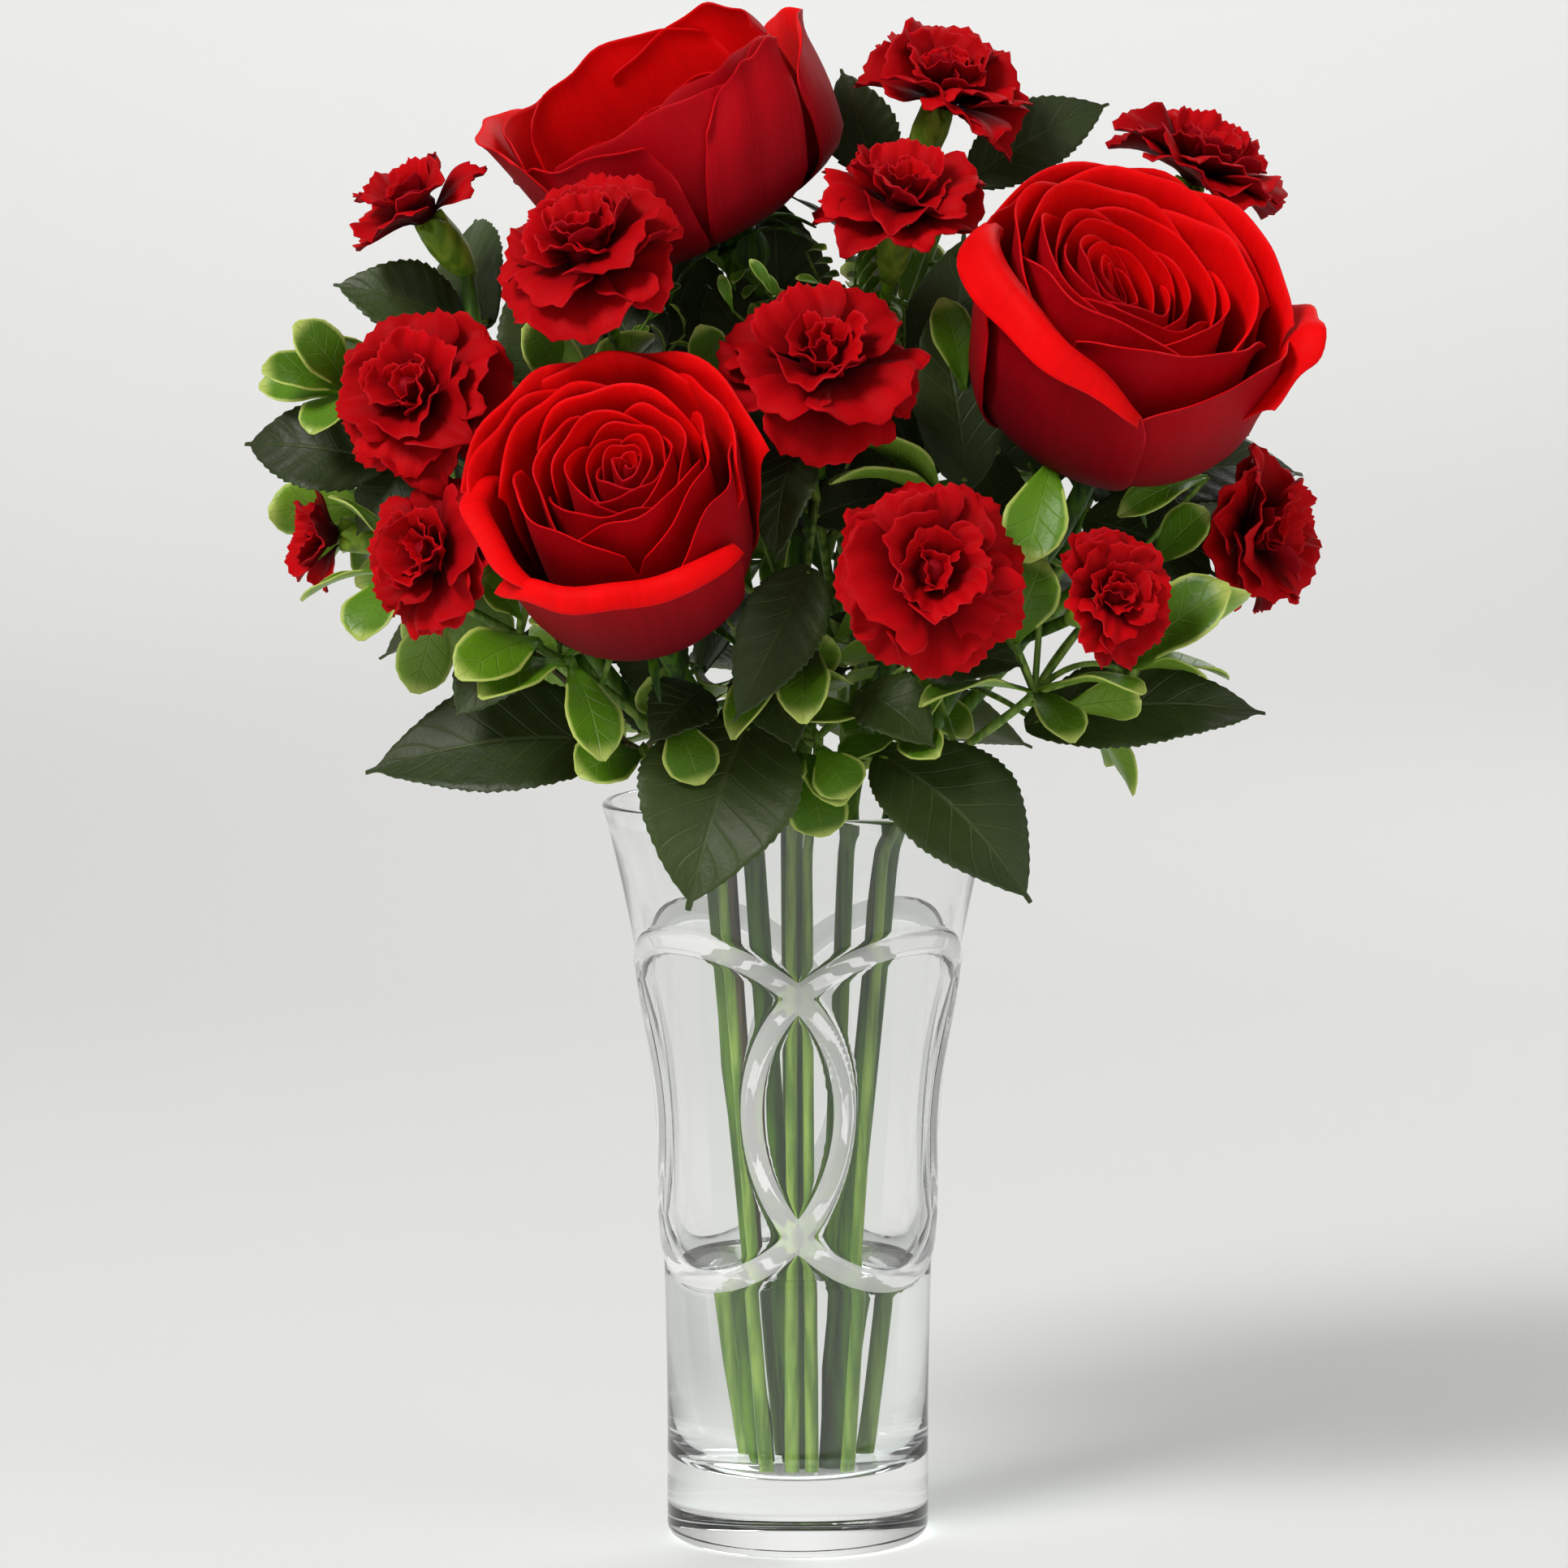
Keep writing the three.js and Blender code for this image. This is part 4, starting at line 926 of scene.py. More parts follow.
rosePetal = {
    "across": 25, "rows": 20, "thickness": 0.42, "root": 2.4, "firstReach": 1.6, "seat": 1.2, "groups": 5,
    "grouping": 0.7, "rowPower": 1.45, "sideDrop": 2.6, "tipWidth": 0.18, "rimWave": 0.7, "cup": 21,
    "drop": 0.2, "cupSteps": 12, "wallSteps": 14, "flapSteps": 8, "coreSides": 20,
}
rosePlaces = {
    "top": {
        "base": (-16, -3, 331), "facing": (-0.48, -0.16, 0.86), "radius": 36.5, "height": 51.5, "spin": 20,
        "cup": 11, "drop": 0.12, "foot": ("middle", 0), "rim": -1.7,
        "heart": {  # values from the innermost petal to the outermost
            "count": 11, "reach": 0.74, "tall": (0.58, 0.61, 0.63, 0.64, 0.64),
            "curl": (-70, -66, -58, -44, -30), "roll": (6, 12), "lean": (0, 0.5, 1.0, 1.5, 2.0),
            "slant": (0.04, 100), "shift": (0, 0),
        },
        # angle, half angle, reach, height, curl, roll, lean, twist, slope, side roll, a flap and its slope
        "guards": [
            (50, 60, 0.84, 0.93, -30, 12, 1.0, 8, 0, 0.5), (112, 62, 0.86, 0.97, -26, 12, 1.5, 6, 0, 0.5),
            (300, 62, 0.78, 0.79, -28, 10, 1.0, 8, 0.02, 0.5), (148, 54, 0.96, 0.94, -12, 12, 2.5, 6, 0, 0.5),
            (255, 60, 0.93, 0.77, -12, 9, 1.0, 6, 0, 0.5), (178, 44, 1.0, 1.0, 24, 9, 6.0, 0, 0, 1.0),
            (215, 50, 1.02, 0.76, 30, 6, 3.0, 6, 0, 0.5), (336, 54, 0.84, 0.75, 5, 8, 0.5, 0, 0.05, 0.5),
            (285, 22, 1.03, 0.77, 30, 8, 0.5, 34, 0.1, 0.5), (12, 44, 1.02, 0.75, 40, 12, 2.0, 0, 0, 0.5),
        ],
    },
    "right": {
        "base": (74, -25, 280), "facing": (0.17, -0.57, 0.8), "radius": 36, "height": 55, "spin": 140,
        "foot": ("second", 7), "rim": 23.5,
        "heart": {
            "count": 24, "reach": 0.87, "tall": (0.82, 0.88, 0.95, 1.0, 1.0), "curl": (-30, -5, 15, 28, 36),
            "roll": (4, 6.5), "lean": (0, 0.4, 1.2, 2.2, 2.8), "slant": (0.12, 172), "shift": (-7, 4),
        },
        "guards": [
            (45, 56, 0.98, 0.95, 35, 7, 2.5, 6, 0, 0.5), (100, 58, 0.99, 1.0, 35, 7, 2.5, 6, 0, 0.5),
            (155, 50, 1.0, 0.98, 30, 7, 1.5, 6, 0, 0.5), (352, 34, 0.92, 0.82, 70, 6.5, 8.0, 4, 0, 0),
            (312, 50, 0.99, 0.8, 30, 6, 2.0, 6, 0.04, 0.5),
            (218, 58, 0.99, 1.03, 190, 3.0, 0.5, 0, -0.12, 0.5, 7, 0.5),
        ],
    },
    "front": {
        "base": (-36, -54, 241), "facing": (-0.2, -0.68, 0.7), "radius": 29, "height": 51.5, "spin": 250,
        "foot": ("second", 0.4), "rim": -11.9,
        "heart": {
            "count": 21, "reach": 0.83, "tall": (0.84, 0.89, 0.95, 1.0, 1.0), "curl": (-30, -10, 10, 24, 30),
            "roll": (4, 6.5), "lean": (0, 0.3, 0.8, 1.4, 1.8), "slant": (0.02, 90), "shift": (5, 8),
        },
        "guards": [
            (30, 52, 0.97, 0.98, 30, 7, 3.0, 6, 0, 0.5), (82, 60, 0.98, 1.02, 30, 8, 4.0, 8, 0, 0.5),
            (140, 58, 0.98, 1.0, 35, 8, 2.5, 8, 0, 0.5), (338, 50, 1.0, 0.93, 20, 7, 1.0, 8, 0, 1.5),
            (58, 56, 1.1, 0.98, 40, 7, 4.0, 8, 0, 0.5), (112, 56, 1.06, 1.0, 40, 7, 3.5, 8, 0, 0.5),
            (198, 48, 0.97, 0.92, 120, 4, 1.0, 6, -0.08, 0.5, 2, 0),
            (268, 62, 1.04, 0.88, 190, 3.0, 1.5, 4, 0, 0, 2.2, 0),
        ],
    },
}
roseStem = {
    "radius": 3.0, "narrowing": 0.85, "joints": 0.05, "spacing": 55, "sides": 18, "intoHip": 3,
    "hip": 6.2, "hipDepth": 12, "hipTop": 0.78, "hipSides": 24,
    "hipOutline": [(0.72, 0.87), (0.95, 0.68), (1, 0.45), (0.93, 0.2)],  # shares of its radius and its depth
}
sepal = {
    "count": 5, "length": 21, "width": 6.4, "thickness": 0.5, "rows": 16, "across": 7, "first": 20,
    "lobe": 0.8, "lobes": 21, "bend": 4, "hollow": -0.72, "below": -1.9, "arch": 1.5,
}


def petalSection(shape, u):  # radius and level from root to rim, at u from -1 to 1 across the petal
    tiltMost, tiltAngle = shape["slant"]
    reach, root, rho = shape["reach"], rosePetal["root"], shape["roll"]
    azimuth = shape["angle"] + u * shape["half"] + shape["twist"]
    top = shape["height"] * (1 - shape["drop"] * abs(u) ** rosePetal["sideDrop"] + shape["slope"] * u
                             + tiltMost * math.cos(azimuth - math.radians(tiltAngle)))
    top += (shape["tip"] * math.exp(-(u / rosePetal["tipWidth"]) ** 2)
            + rosePetal["rimWave"] * math.sin(5.1 * u + 2.3 * shape["phase"]))
    cup = min(shape["cup"], top * 0.55)
    swing = np.linspace(0, math.pi / 2, rosePetal["cupSteps"])
    roll = shape["curl"] * (0.85 + shape["curlSides"] * u * u)
    wallTop = max(cup + 2, top - rho * math.sin(min(abs(roll), math.pi / 2)))
    t = np.linspace(0, 1, rosePetal["wallSteps"])[1:]
    wall = reach + shape["lean"] * t ** 2 + shape["belly"] * reach * np.sin(math.pi * t)
    slope = (2 * shape["lean"] - math.pi * shape["belly"] * reach) / (wallTop - cup)
    start = math.atan(slope)
    sign = 1 if roll >= 0 else -1
    beta = start + np.linspace(0, roll, rosePetal["wallSteps"])[1:]
    radius = np.concatenate([root + (reach - root) * np.sin(swing) ** 0.9, wall,
                             wall[-1] + sign * rho * (math.cos(start) - np.cos(beta))])
    level = np.concatenate([cup * (1 - np.cos(swing)), mix(cup, wallTop, t),
                            wallTop + sign * rho * (np.sin(beta) - math.sin(start))])
    flap = shape["flap"] * (1 - shape["flapSlope"] * u) * (1 - abs(u) ** 3)
    if flap > 0.1:
        hanging = np.linspace(0, flap, rosePetal["flapSteps"])[1:]
        radius = np.append(radius, radius[-1] + hanging * math.sin(beta[-1]))
        level = np.append(level, level[-1] + hanging * math.cos(beta[-1]))
    return radius, level


def rosePetalGrid(shape, height):
    rows, across = rosePetal["rows"], rosePetal["across"]
    grid = np.zeros((rows, across, 3))
    steps = 1 - (1 - np.linspace(0, 1, rows)) ** rosePetal["rowPower"]
    phase = shape["phase"]
    for j, u in enumerate(np.linspace(-1, 1, across)):
        radius, level = petalSection(shape, u)
        length = np.concatenate([[0], np.cumsum(np.hypot(np.diff(radius), np.diff(level)))])
        r = np.interp(steps * length[-1], length, radius)
        z = np.interp(steps * length[-1], length, level)
        wave = shape["ripple"] * steps ** 3
        r = r + shape["tuck"] * u * ease(0, 0.4, steps) + wave * math.sin(2.3 * math.pi * u + phase)
        r = r + shape["sideRoll"] * ease(0.62, 1, abs(u)) * ease(0.25, 0.8, steps)
        r = r + shape["dent"] * np.sin(7 * steps + phase) * math.sin(4 * u + 1.7 * phase)
        r = np.maximum(r, 0.5)
        z = z + 0.6 * wave * math.cos(3.3 * math.pi * u + 2 * phase)
        width = mix(0.5, 1, ease(0, 0.55, steps)) * (1 - 0.1 * ease(0.8, 1, steps))
        angle = shape["angle"] + u * shape["half"] * width + shape["twist"] * z / height
        moved = z / height
        grid[:, j] = np.stack([r * np.cos(angle) + shape["shift"][0] * moved,
                               r * np.sin(angle) + shape["shift"][1] * moved, z + rosePetal["seat"]], axis=-1)
    return grid


plainPetal = {
    "tip": 0.0, "slant": (0, 0), "slope": 0.0, "sideRoll": 0.0, "shift": (0, 0), "flap": 0.0,
    "flapSlope": 0.0,
}
heartPetal = {**plainPetal, "belly": 0.03, "curlSides": 0.4}
guardPetal = {**plainPetal, "belly": 0.035, "tuck": 1.1, "ripple": 0.8, "dent": 0.35}


def heartShapes(rose):
    radius, height, heart = rose["radius"], rose["height"], rose["heart"]
    stages = (0, 0.3, 0.6, 0.85, 1)
    count = heart["count"]
    pitch = (radius * heart["reach"] - rosePetal["firstReach"]) / count
    turns = 2 * math.pi * rosePetal["groups"]
    shapes = []
    for k in range(count):
        share = k / (count - 1)
        grouped = share + rosePetal["grouping"] * math.sin(turns * share) / turns
        chance = [draw(k * 7 + rose["spin"] + n) - 0.5 for n in range(4)]
        tall, curl, lean = (np.interp(share, stages, heart[name]) for name in ("tall", "curl", "lean"))
        shapes.append({
            **heartPetal, "angle": goldenAngle * k + math.radians(rose["spin"]) + 0.3 * chance[0],
            "half": math.radians(mix(150, 60, share ** 0.5)),
            "reach": mix(rosePetal["firstReach"], radius * heart["reach"], grouped ** 1.12),
            "height": height * (tall + 0.03 * chance[1]), "cup": mix(8, 20, share),
            "curl": math.radians(curl + 8 * chance[2]), "roll": mix(*heart["roll"], share), "lean": lean,
            "drop": mix(0.1, 0.16, share), "twist": math.radians(mix(32, 10, share)), "tuck": 0.42 * pitch,
            "ripple": mix(0.15, 0.7, share), "phase": 6 * chance[3] + k, "slant": heart["slant"],
            # painted shade: the innermost petals get a lower tone and so a darker colour, as the bloom's deep
            # centre lies in shade; the rest of the tone is random
            "toneAndShade": mix(0.25, 0.6, share) + 0.5 * (chance[0] + 0.2), "dent": 0.2 * share,
            "shift": [s * (1 - 0.9 * share) for s in heart["shift"]],
        })
    return shapes


def guardShapes(rose):
    shapes = []
    for k, guard in enumerate(rose["guards"]):
        angle, half, reach, tall, curl, roll, lean, twist, slope, sideRoll, *flap = guard
        chance = [draw(k * 13 + rose["spin"] + n) - 0.5 for n in range(2)]
        curlSides = -0.1 if curl > 150 else -0.4 if curl > 50 else 0.3
        shapes.append({
            **guardPetal, "angle": math.radians(angle), "half": math.radians(half),
            "reach": rose["radius"] * reach, "height": rose["height"] * tall,
            "cup": rose.get("cup", rosePetal["cup"]), "drop": rose.get("drop", rosePetal["drop"]),
            "curl": math.radians(curl), "roll": roll, "lean": lean, "tip": 0.22 * lean,
            "twist": math.radians(twist), "phase": 6 * chance[0] + k, "toneAndShade": 0.5 + 0.3 * chance[1],
            "slope": slope, "sideRoll": sideRoll, "curlSides": curlSides,
            **dict(zip(("flap", "flapSlope"), flap)),
        })
    return shapes


def sepalGrid(angle, droop, bend):
    grid = np.zeros((sepal["rows"], sepal["across"], 3))
    along = sideways(angle)
    across = np.array([-along[1], along[0], 0])
    for i, t in enumerate(np.linspace(0, 1, sepal["rows"])):
        fullness = 0.45 + 0.55 * math.sin(math.pi * min(1, t * 1.5 + 0.15))
        width = sepal["width"] * fullness * (1 - t) ** 0.55 + 0.3
        lobe = sepal["lobe"] * max(0, math.sin(t * sepal["lobes"])) * (1 - t)  # the fine side lobes
        level = sepal["below"] - droop * sepal["length"] * t * t + sepal["arch"] * math.sin(math.pi * t)
        centre = along * (roseStem["hip"] * 0.6 + t * sepal["length"] * (1 - 0.2 * t * droop))
        centre = centre + np.array([0, 0, level])
        centre = centre + across * bend * t * t * sepal["bend"]
        for j, u in enumerate(np.linspace(-1, 1, sepal["across"])):
            spot = centre + across * u * (width / 2 + lobe * abs(u) ** 3)
            grid[i, j] = spot + np.array([0, 0, sepal["hollow"] * (1 - u * u) * (1 - t)])
    return grid[:, ::-1]


def makeRoseHip(rose, material):
    hip, depth = roseStem["hip"], roseStem["hipDepth"]
    outline = [(hip * r, -depth * t) for r, t in roseStem["hipOutline"]]
    parts = [turnedPart([(0, -depth), (roseStem["radius"], -depth), *outline,
                         (hip * roseStem["hipTop"], -seatGap), (0, -seatGap)], roseStem["hipSides"])]
    for k in range(sepal["count"]):
        droop = mix(0.25, 0.6, draw(k + rose["spin"]))
        angle = math.radians(360 / sepal["count"] * k + sepal["first"] + rose["spin"])
        grid = sepalGrid(angle, droop, draw(k * 3 + 1) - 0.5)
        parts.append(sheetPart(grid, sepal["thickness"], draw(k + 5)))
    return meshFrom("roseHip", parts, material)


def makeRoses(materials, stemTree):
    for name, rose in rosePlaces.items():
        place = facingMatrix(rose["base"], rose["facing"])
        petals = [sheetPart(rosePetalGrid(shape, rose["height"]), rosePetal["thickness"], shape["toneAndShade"])
                  for shape in [*heartShapes(rose), *guardShapes(rose)]]
        # painted shade: the core's low tone darkens it, as it sits in the bloom's shaded centre
        core = turnedPart([(0, 0.4), (5, 0.4), (rose["radius"] * 0.3, 6), (2.4, 14), (0, 16)],
                          rosePetal["coreSides"], 0.2)
        mesh = meshFrom("roseBloom", [*petals, core], materials["rosePetal"])
        mesh.transform(place)
        bloom = addObject(f"roseBloom_{name}", mesh)
        seat(bloom, "rose_petal", f"rose_bloom_{name}")

        head = makeRoseHip(rose, materials["roseStem"])
        head.transform(place)
        end = np.array(rose["base"]) + unit(rose["facing"]) * (roseStem["intoHip"] - roseStem["hipDepth"])
        route = stemRoute(rose["foot"], rose["rim"], end, rose["facing"])
        line = (route, taper(route, roseStem["radius"], roseStem["radius"] * roseStem["narrowing"],
                             roseStem["joints"], roseStem["spacing"]))
        stem = sweep("roseStem", [line], stemTree, materials["roseStem"], roseStem["sides"])
        piece = joinMeshes(f"roseStem_{name}", [head, stem])
        seat(piece, "rose_green", f"rose_stem_{name}")
        print("rose", name, len(mesh.polygons), "faces")


# Small carnations

carnationPetal = {"rows": 10, "across": 21, "thickness": 0.022, "claw": 0.1, "fineWaves": 13}
petalForms = {  # as shares of a petal's length: half its width, its rim, its waves and its bends
    "inner": {
        "kinds": 3, "width": 0.56, "drop": 0.18, "teeth": 0.022, "lobe": 0.04, "lobes": 7.5, "frill": 0.1,
        "fineFrill": 0.04, "cup": -0.36, "opening": 0.14,
    },
    "outer": {
        "kinds": 5, "width": 0.68, "drop": 0.22, "teeth": 0.022, "lobe": 0.05, "lobes": 6.0, "frill": 0.16,
        "fineFrill": 0.04, "cup": -0.14, "opening": 0.24,
    },
}
carnationHead = {
    "petals": 18, "innerShare": 0.45, "innerTilt": 3, "seat": 0.25, "rise": 0.1, "spread": 2.6, "turn": 40,
    "core": [(0, 0), (0.16, 0.01), (0.24, 0.14), (0.2, 0.34), (0.08, 0.48), (0, 0.5)], "coreSides": 16,
}
calyx = {
    "length": 19, "neck": 2.2, "belly": 4.6, "mouth": 4.3, "sides": 30, "points": 5, "tooth": 2.6, "ribs": 10,
    "rib": 0.025,
}
branch = {
    "sides": 12, "joints": 0.3, "fork": 1.7, "neck": 1.5, "spacing": 30, "steps": 18, "mainNeck": 1.9,
    "mainSpacing": 46, "lowSteps": 25, "lowUntil": 0.75, "highSteps": 12, "from": (0, 0, 140),
}
headColumns = ("centre", "facing", "radius", "open", "from", "petals")
sprays = {  # a head's last value is left out where it has the usual number of petals
    "left": {
        "foot": ("middle", -6.8), "rim": -23.1, "radius": 2.4, "forks": [(-52, -18, 228), (-72, -14, 262)],
        "heads": {
            "01": ((-95, -10, 338), (-0.55, -0.35, 0.75), 19, 66, "end", 9),
            "06": ((-94, -44, 293), (-0.45, -0.78, 0.45), 21.5, 88, 1),
            "08": ((-90, -54, 254), (-0.6, -0.75, 0.25), 18.5, 84, 0),
            "09": ((-118, -14, 256), (-0.95, -0.25, 0.05), 13.5, 48, 0, 9),
        },
    },
    "top": {
        "foot": ("fourth", -0.5), "rim": -1, "radius": 2.4, "forks": [(12, 14, 250), (20, 10, 300)],
        "heads": {
            "03": ((37, 0, 367), (0.3, -0.45, 0.84), 20.5, 70, "end"),
            "04": ((26, -36, 340), (0.15, -0.5, 0.85), 19.5, 84, 1),
            "07": ((6, -64, 302), (0.05, -0.7, 0.71), 24, 92, 0),
        },
    },
    "middle": {
        "foot": ("middle", 6.3), "rim": 12.7, "radius": 2.3, "forks": [(19, -22, 215)],
        "heads": {
            "10": ((32, -85, 252), (0.15, -0.93, 0.3), 22, 94, "end"),
            "11": ((76, -70, 245), (0.4, -0.85, 0.3), 14.5, 74, 0),
        },
    },
    "right": {
        "foot": ("fourth", 6.3), "rim": 23, "radius": 2.4, "forks": [(56, 16, 226), (80, 15, 282)],
        "heads": {
            "05": ((101, 5, 348), (0.42, -0.22, 0.86), 21.5, 72, "end"),
            "12": ((115, -20, 257), (0.85, -0.5, 0.1), 20.5, 72, 0),
        },
    },
    "back": {
        "foot": ("fifth", -1.5), "rim": -11.5, "radius": 2.4, "forks": [(-14, 34, 228), (-10, 48, 262)],
        "heads": {
            "13": ((12, 68, 292), (0.1, 0.9, 0.4), 20, 84, "end"),
            "14": ((-58, 54, 312), (-0.55, 0.7, 0.45), 20, 84, 0),
            "02": ((-51, -66, 329), (-0.2, -0.64, 0.74), 22, 88, 1),
        },
    },
}


def carnationPetalGrid(kind, form):  # one unit long, from the claw up its own Z, outer side towards +Y
    rows, across = carnationPetal["rows"], carnationPetal["across"]
    chance = [draw(kind * 31 + n) - 0.5 for n in range(6)]
    grid = np.zeros((rows, across, 3))
    for j, u in enumerate(np.linspace(-1, 1, across)):
        tooth = form["teeth"] * (1 if j % 2 else -1) * (0.5 + draw(kind * 97 + j))
        lobe = form["lobe"] * math.cos(form["lobes"] * u + 9 * chance[0])
        length = 1 - form["drop"] * abs(u) ** 2.6 + tooth + lobe
        frill = (form["frill"] * (1 + 0.7 * chance[1]) * math.sin(3.6 * u + 9 * chance[2])
                 + form["fineFrill"] * math.sin(carnationPetal["fineWaves"] * u + 9 * chance[3]))
        for i, v in enumerate(np.linspace(0, 1, rows)):
            half = mix(carnationPetal["claw"], form["width"] * (1 + 0.25 * chance[4]), ease(0.05, 0.78, v))
            y = (form["opening"] * v ** 2.4 + frill * v ** 1.8 + form["cup"] * u * u * v ** 1.2
                 + 0.12 * chance[5] * u * v)
            grid[i, j] = (-u * half * (1 - 0.05 * u * u), y, length * v * (1 - 0.1 * v * v))
    return grid


def makeKinds(name, parts, material):  # small meshes that a tree places
    collection = bpy.data.collections.new(name)
    for kind, part in enumerate(parts):
        mesh = meshFrom(f"{name}{kind}", [part], material)
        collection.objects.link(bpy.data.objects.new(f"{name}{kind}", mesh))
    return collection


def dropKinds(collection):
    for item in list(collection.objects):
        bpy.data.objects.remove(item)
    bpy.data.collections.remove(collection)


def petalParts():
    forms = [form for form in petalForms.values() for _ in range(form["kinds"])]
    for kind, form in enumerate(forms):
        part = sheetPart(carnationPetalGrid(kind, form), carnationPetal["thickness"], draw(kind * 5 + 2))
        yield {**part, "points": part["points"] / mm}


def calyxPart():
    rows = [(0, calyx["neck"]), (0.12, calyx["neck"] * 1.35), (0.35, calyx["belly"] * 0.92),
            (0.6, calyx["belly"]), (0.85, calyx["mouth"]), (0.985, calyx["mouth"] * 0.98),
            (1.0, calyx["mouth"] * 0.86)]
    outline = [(r, -calyx["length"] + t * (calyx["length"] - seatGap)) for t, r in rows]

    def points(ring):  # five teeth at the mouth and fine ribs
        angle = np.linspace(0, 2 * math.pi, calyx["sides"], endpoint=False)
        rib = 1 + calyx["rib"] * np.cos(angle * calyx["ribs"])
        tooth = 0.5 + 0.5 * np.cos(angle * calyx["points"])
        for level, tall in ((-1, 1.0), (-2, 1.0), (-3, 0.35 * 0.4)):
            ring[level, :, 2] += tall * calyx["tooth"] * (tooth - 1)
        ring[..., 0] *= rib
        ring[..., 1] *= rib
        return ring
    return turnedPart([(0, -calyx["length"]), *outline, (0, -seatGap)], calyx["sides"], 0.6, points)


def makeCarnationHead(label, head, number, kinds, headTree, material):
    radius = head["radius"]
    base = np.array(head["centre"]) - unit(head["facing"]) * radius * carnationHead["seat"]
    place = facingMatrix(base, head["facing"], carnationHead["turn"] * number)
    petals = runTree("head", headTree, bpy.data.meshes.new("head"), {
        "Petals": kinds, "Inner Kinds": petalForms["inner"]["kinds"],
        "Outer Kinds": petalForms["outer"]["kinds"], "Inner Share": carnationHead["innerShare"],
        "Count": head.get("petals", carnationHead["petals"]), "Length": radius * mm,
        "Inner Tilt": math.radians(carnationHead["innerTilt"]), "Outer Tilt": math.radians(head["open"]),
        "Rise": radius * carnationHead["rise"] * mm, "Spread": carnationHead["spread"] * mm, "Seed": number,
        "Material": material})
    profile = [(r * radius, z * radius) for r, z in carnationHead["core"]]
    # painted shade: the core's low tone darkens it, as it sits in the head's shaded centre
    core = meshFrom("core", [turnedPart(profile, carnationHead["coreSides"], 0.1)], material)
    for part in (petals, core):
        part.transform(place)
    bloom = joinMeshes(f"carnation_head_{label}", [petals, core])
    seat(bloom, "carnation_petal", f"carnation_{label}")
    return base, place


def branchLine(spray, head, base, number):
    forks = [np.array(fork, float) for fork in spray["forks"]]
    facing = unit(head["facing"])
    neck = base + facing * (2 - calyx["length"])
    if head["from"] == "end":
        fromBelow = unit(forks[0] - np.array(branch["from"]))
        lower = stemRoute(spray["foot"], spray["rim"], forks[0], fromBelow, branch["lowSteps"],
                          branch["lowUntil"])
        upper = throughPoints([lower[-1], *forks, neck], branch["highSteps"])
        route = np.concatenate([lower[:-1], upper])
        return route, taper(route, spray["radius"], branch["mainNeck"], branch["joints"],
                            branch["mainSpacing"], number)
    fork = forks[head["from"]]
    leaving = mix(fork, neck, 0.3) + np.array([0, 0, 3])
    arriving = neck - facing * 0.4 * np.linalg.norm(neck - fork)
    route = bezier(fork, leaving, arriving, neck, branch["steps"])
    return route, taper(route, branch["fork"], branch["neck"], branch["joints"], branch["spacing"], number)


def makeCarnations(materials, headTree, stemTree):
    kinds = makeKinds("petalKind", petalParts(), materials["carnationPetal"])
    number = 1
    for name, spray in sprays.items():
        lines, caps = [], []
        for label, row in spray["heads"].items():
            head = dict(zip(headColumns, row))
            base, place = makeCarnationHead(label, head, number, kinds, headTree, materials["carnationPetal"])
            caps.append(movedPart(calyxPart(), place))
            lines.append(branchLine(spray, head, base, number))
            number += 1
        stem = sweep("spray", lines, stemTree, materials["carnationStem"], branch["sides"])
        piece = joinMeshes(f"carnationSpray_{name}", [meshFrom("caps", caps, materials["calyxStem"]), stem])
        seat(piece, "carnation_green", f"carnation_spray_{name}")
        print("spray", name, len(piece.data.polygons), "faces")
    dropKinds(kinds)


# Leaves

leafTurns = [(0, 0), (0, 9), (0, -9), (9, 0), (-9, 0), (12, 12), (-12, 12), (12, -12), (-12, -12),
             (0, 20), (0, -20), (20, 0), (-20, 0), (24, 18), (-24, 18), (24, -18), (-24, -18)]
onSolid = {"spots": (0.34, 0.62, 0.97), "within": 0.75}  # where a leaf is tried, and how near its solid is
stalkForm = {"drop": 0.35, "lift": 0.06, "steps": 10}
toothedLeaf = {
    "grid": (72, 13), "fillGrid": (48, 9), "thickness": 0.45, "toothStep": 2.3, "toothSize": 0.85,
    "fold": 0.1, "arch": 0.1, "droop": 0.05, "stalk": 0.9, "stalkEnd": 0.75, "quilt": 0.3, "wave": 0.9,
}
toothedStem = {"radius": 1.5, "narrowing": 0.8, "joints": 0.12, "spacing": 30, "sides": 10}
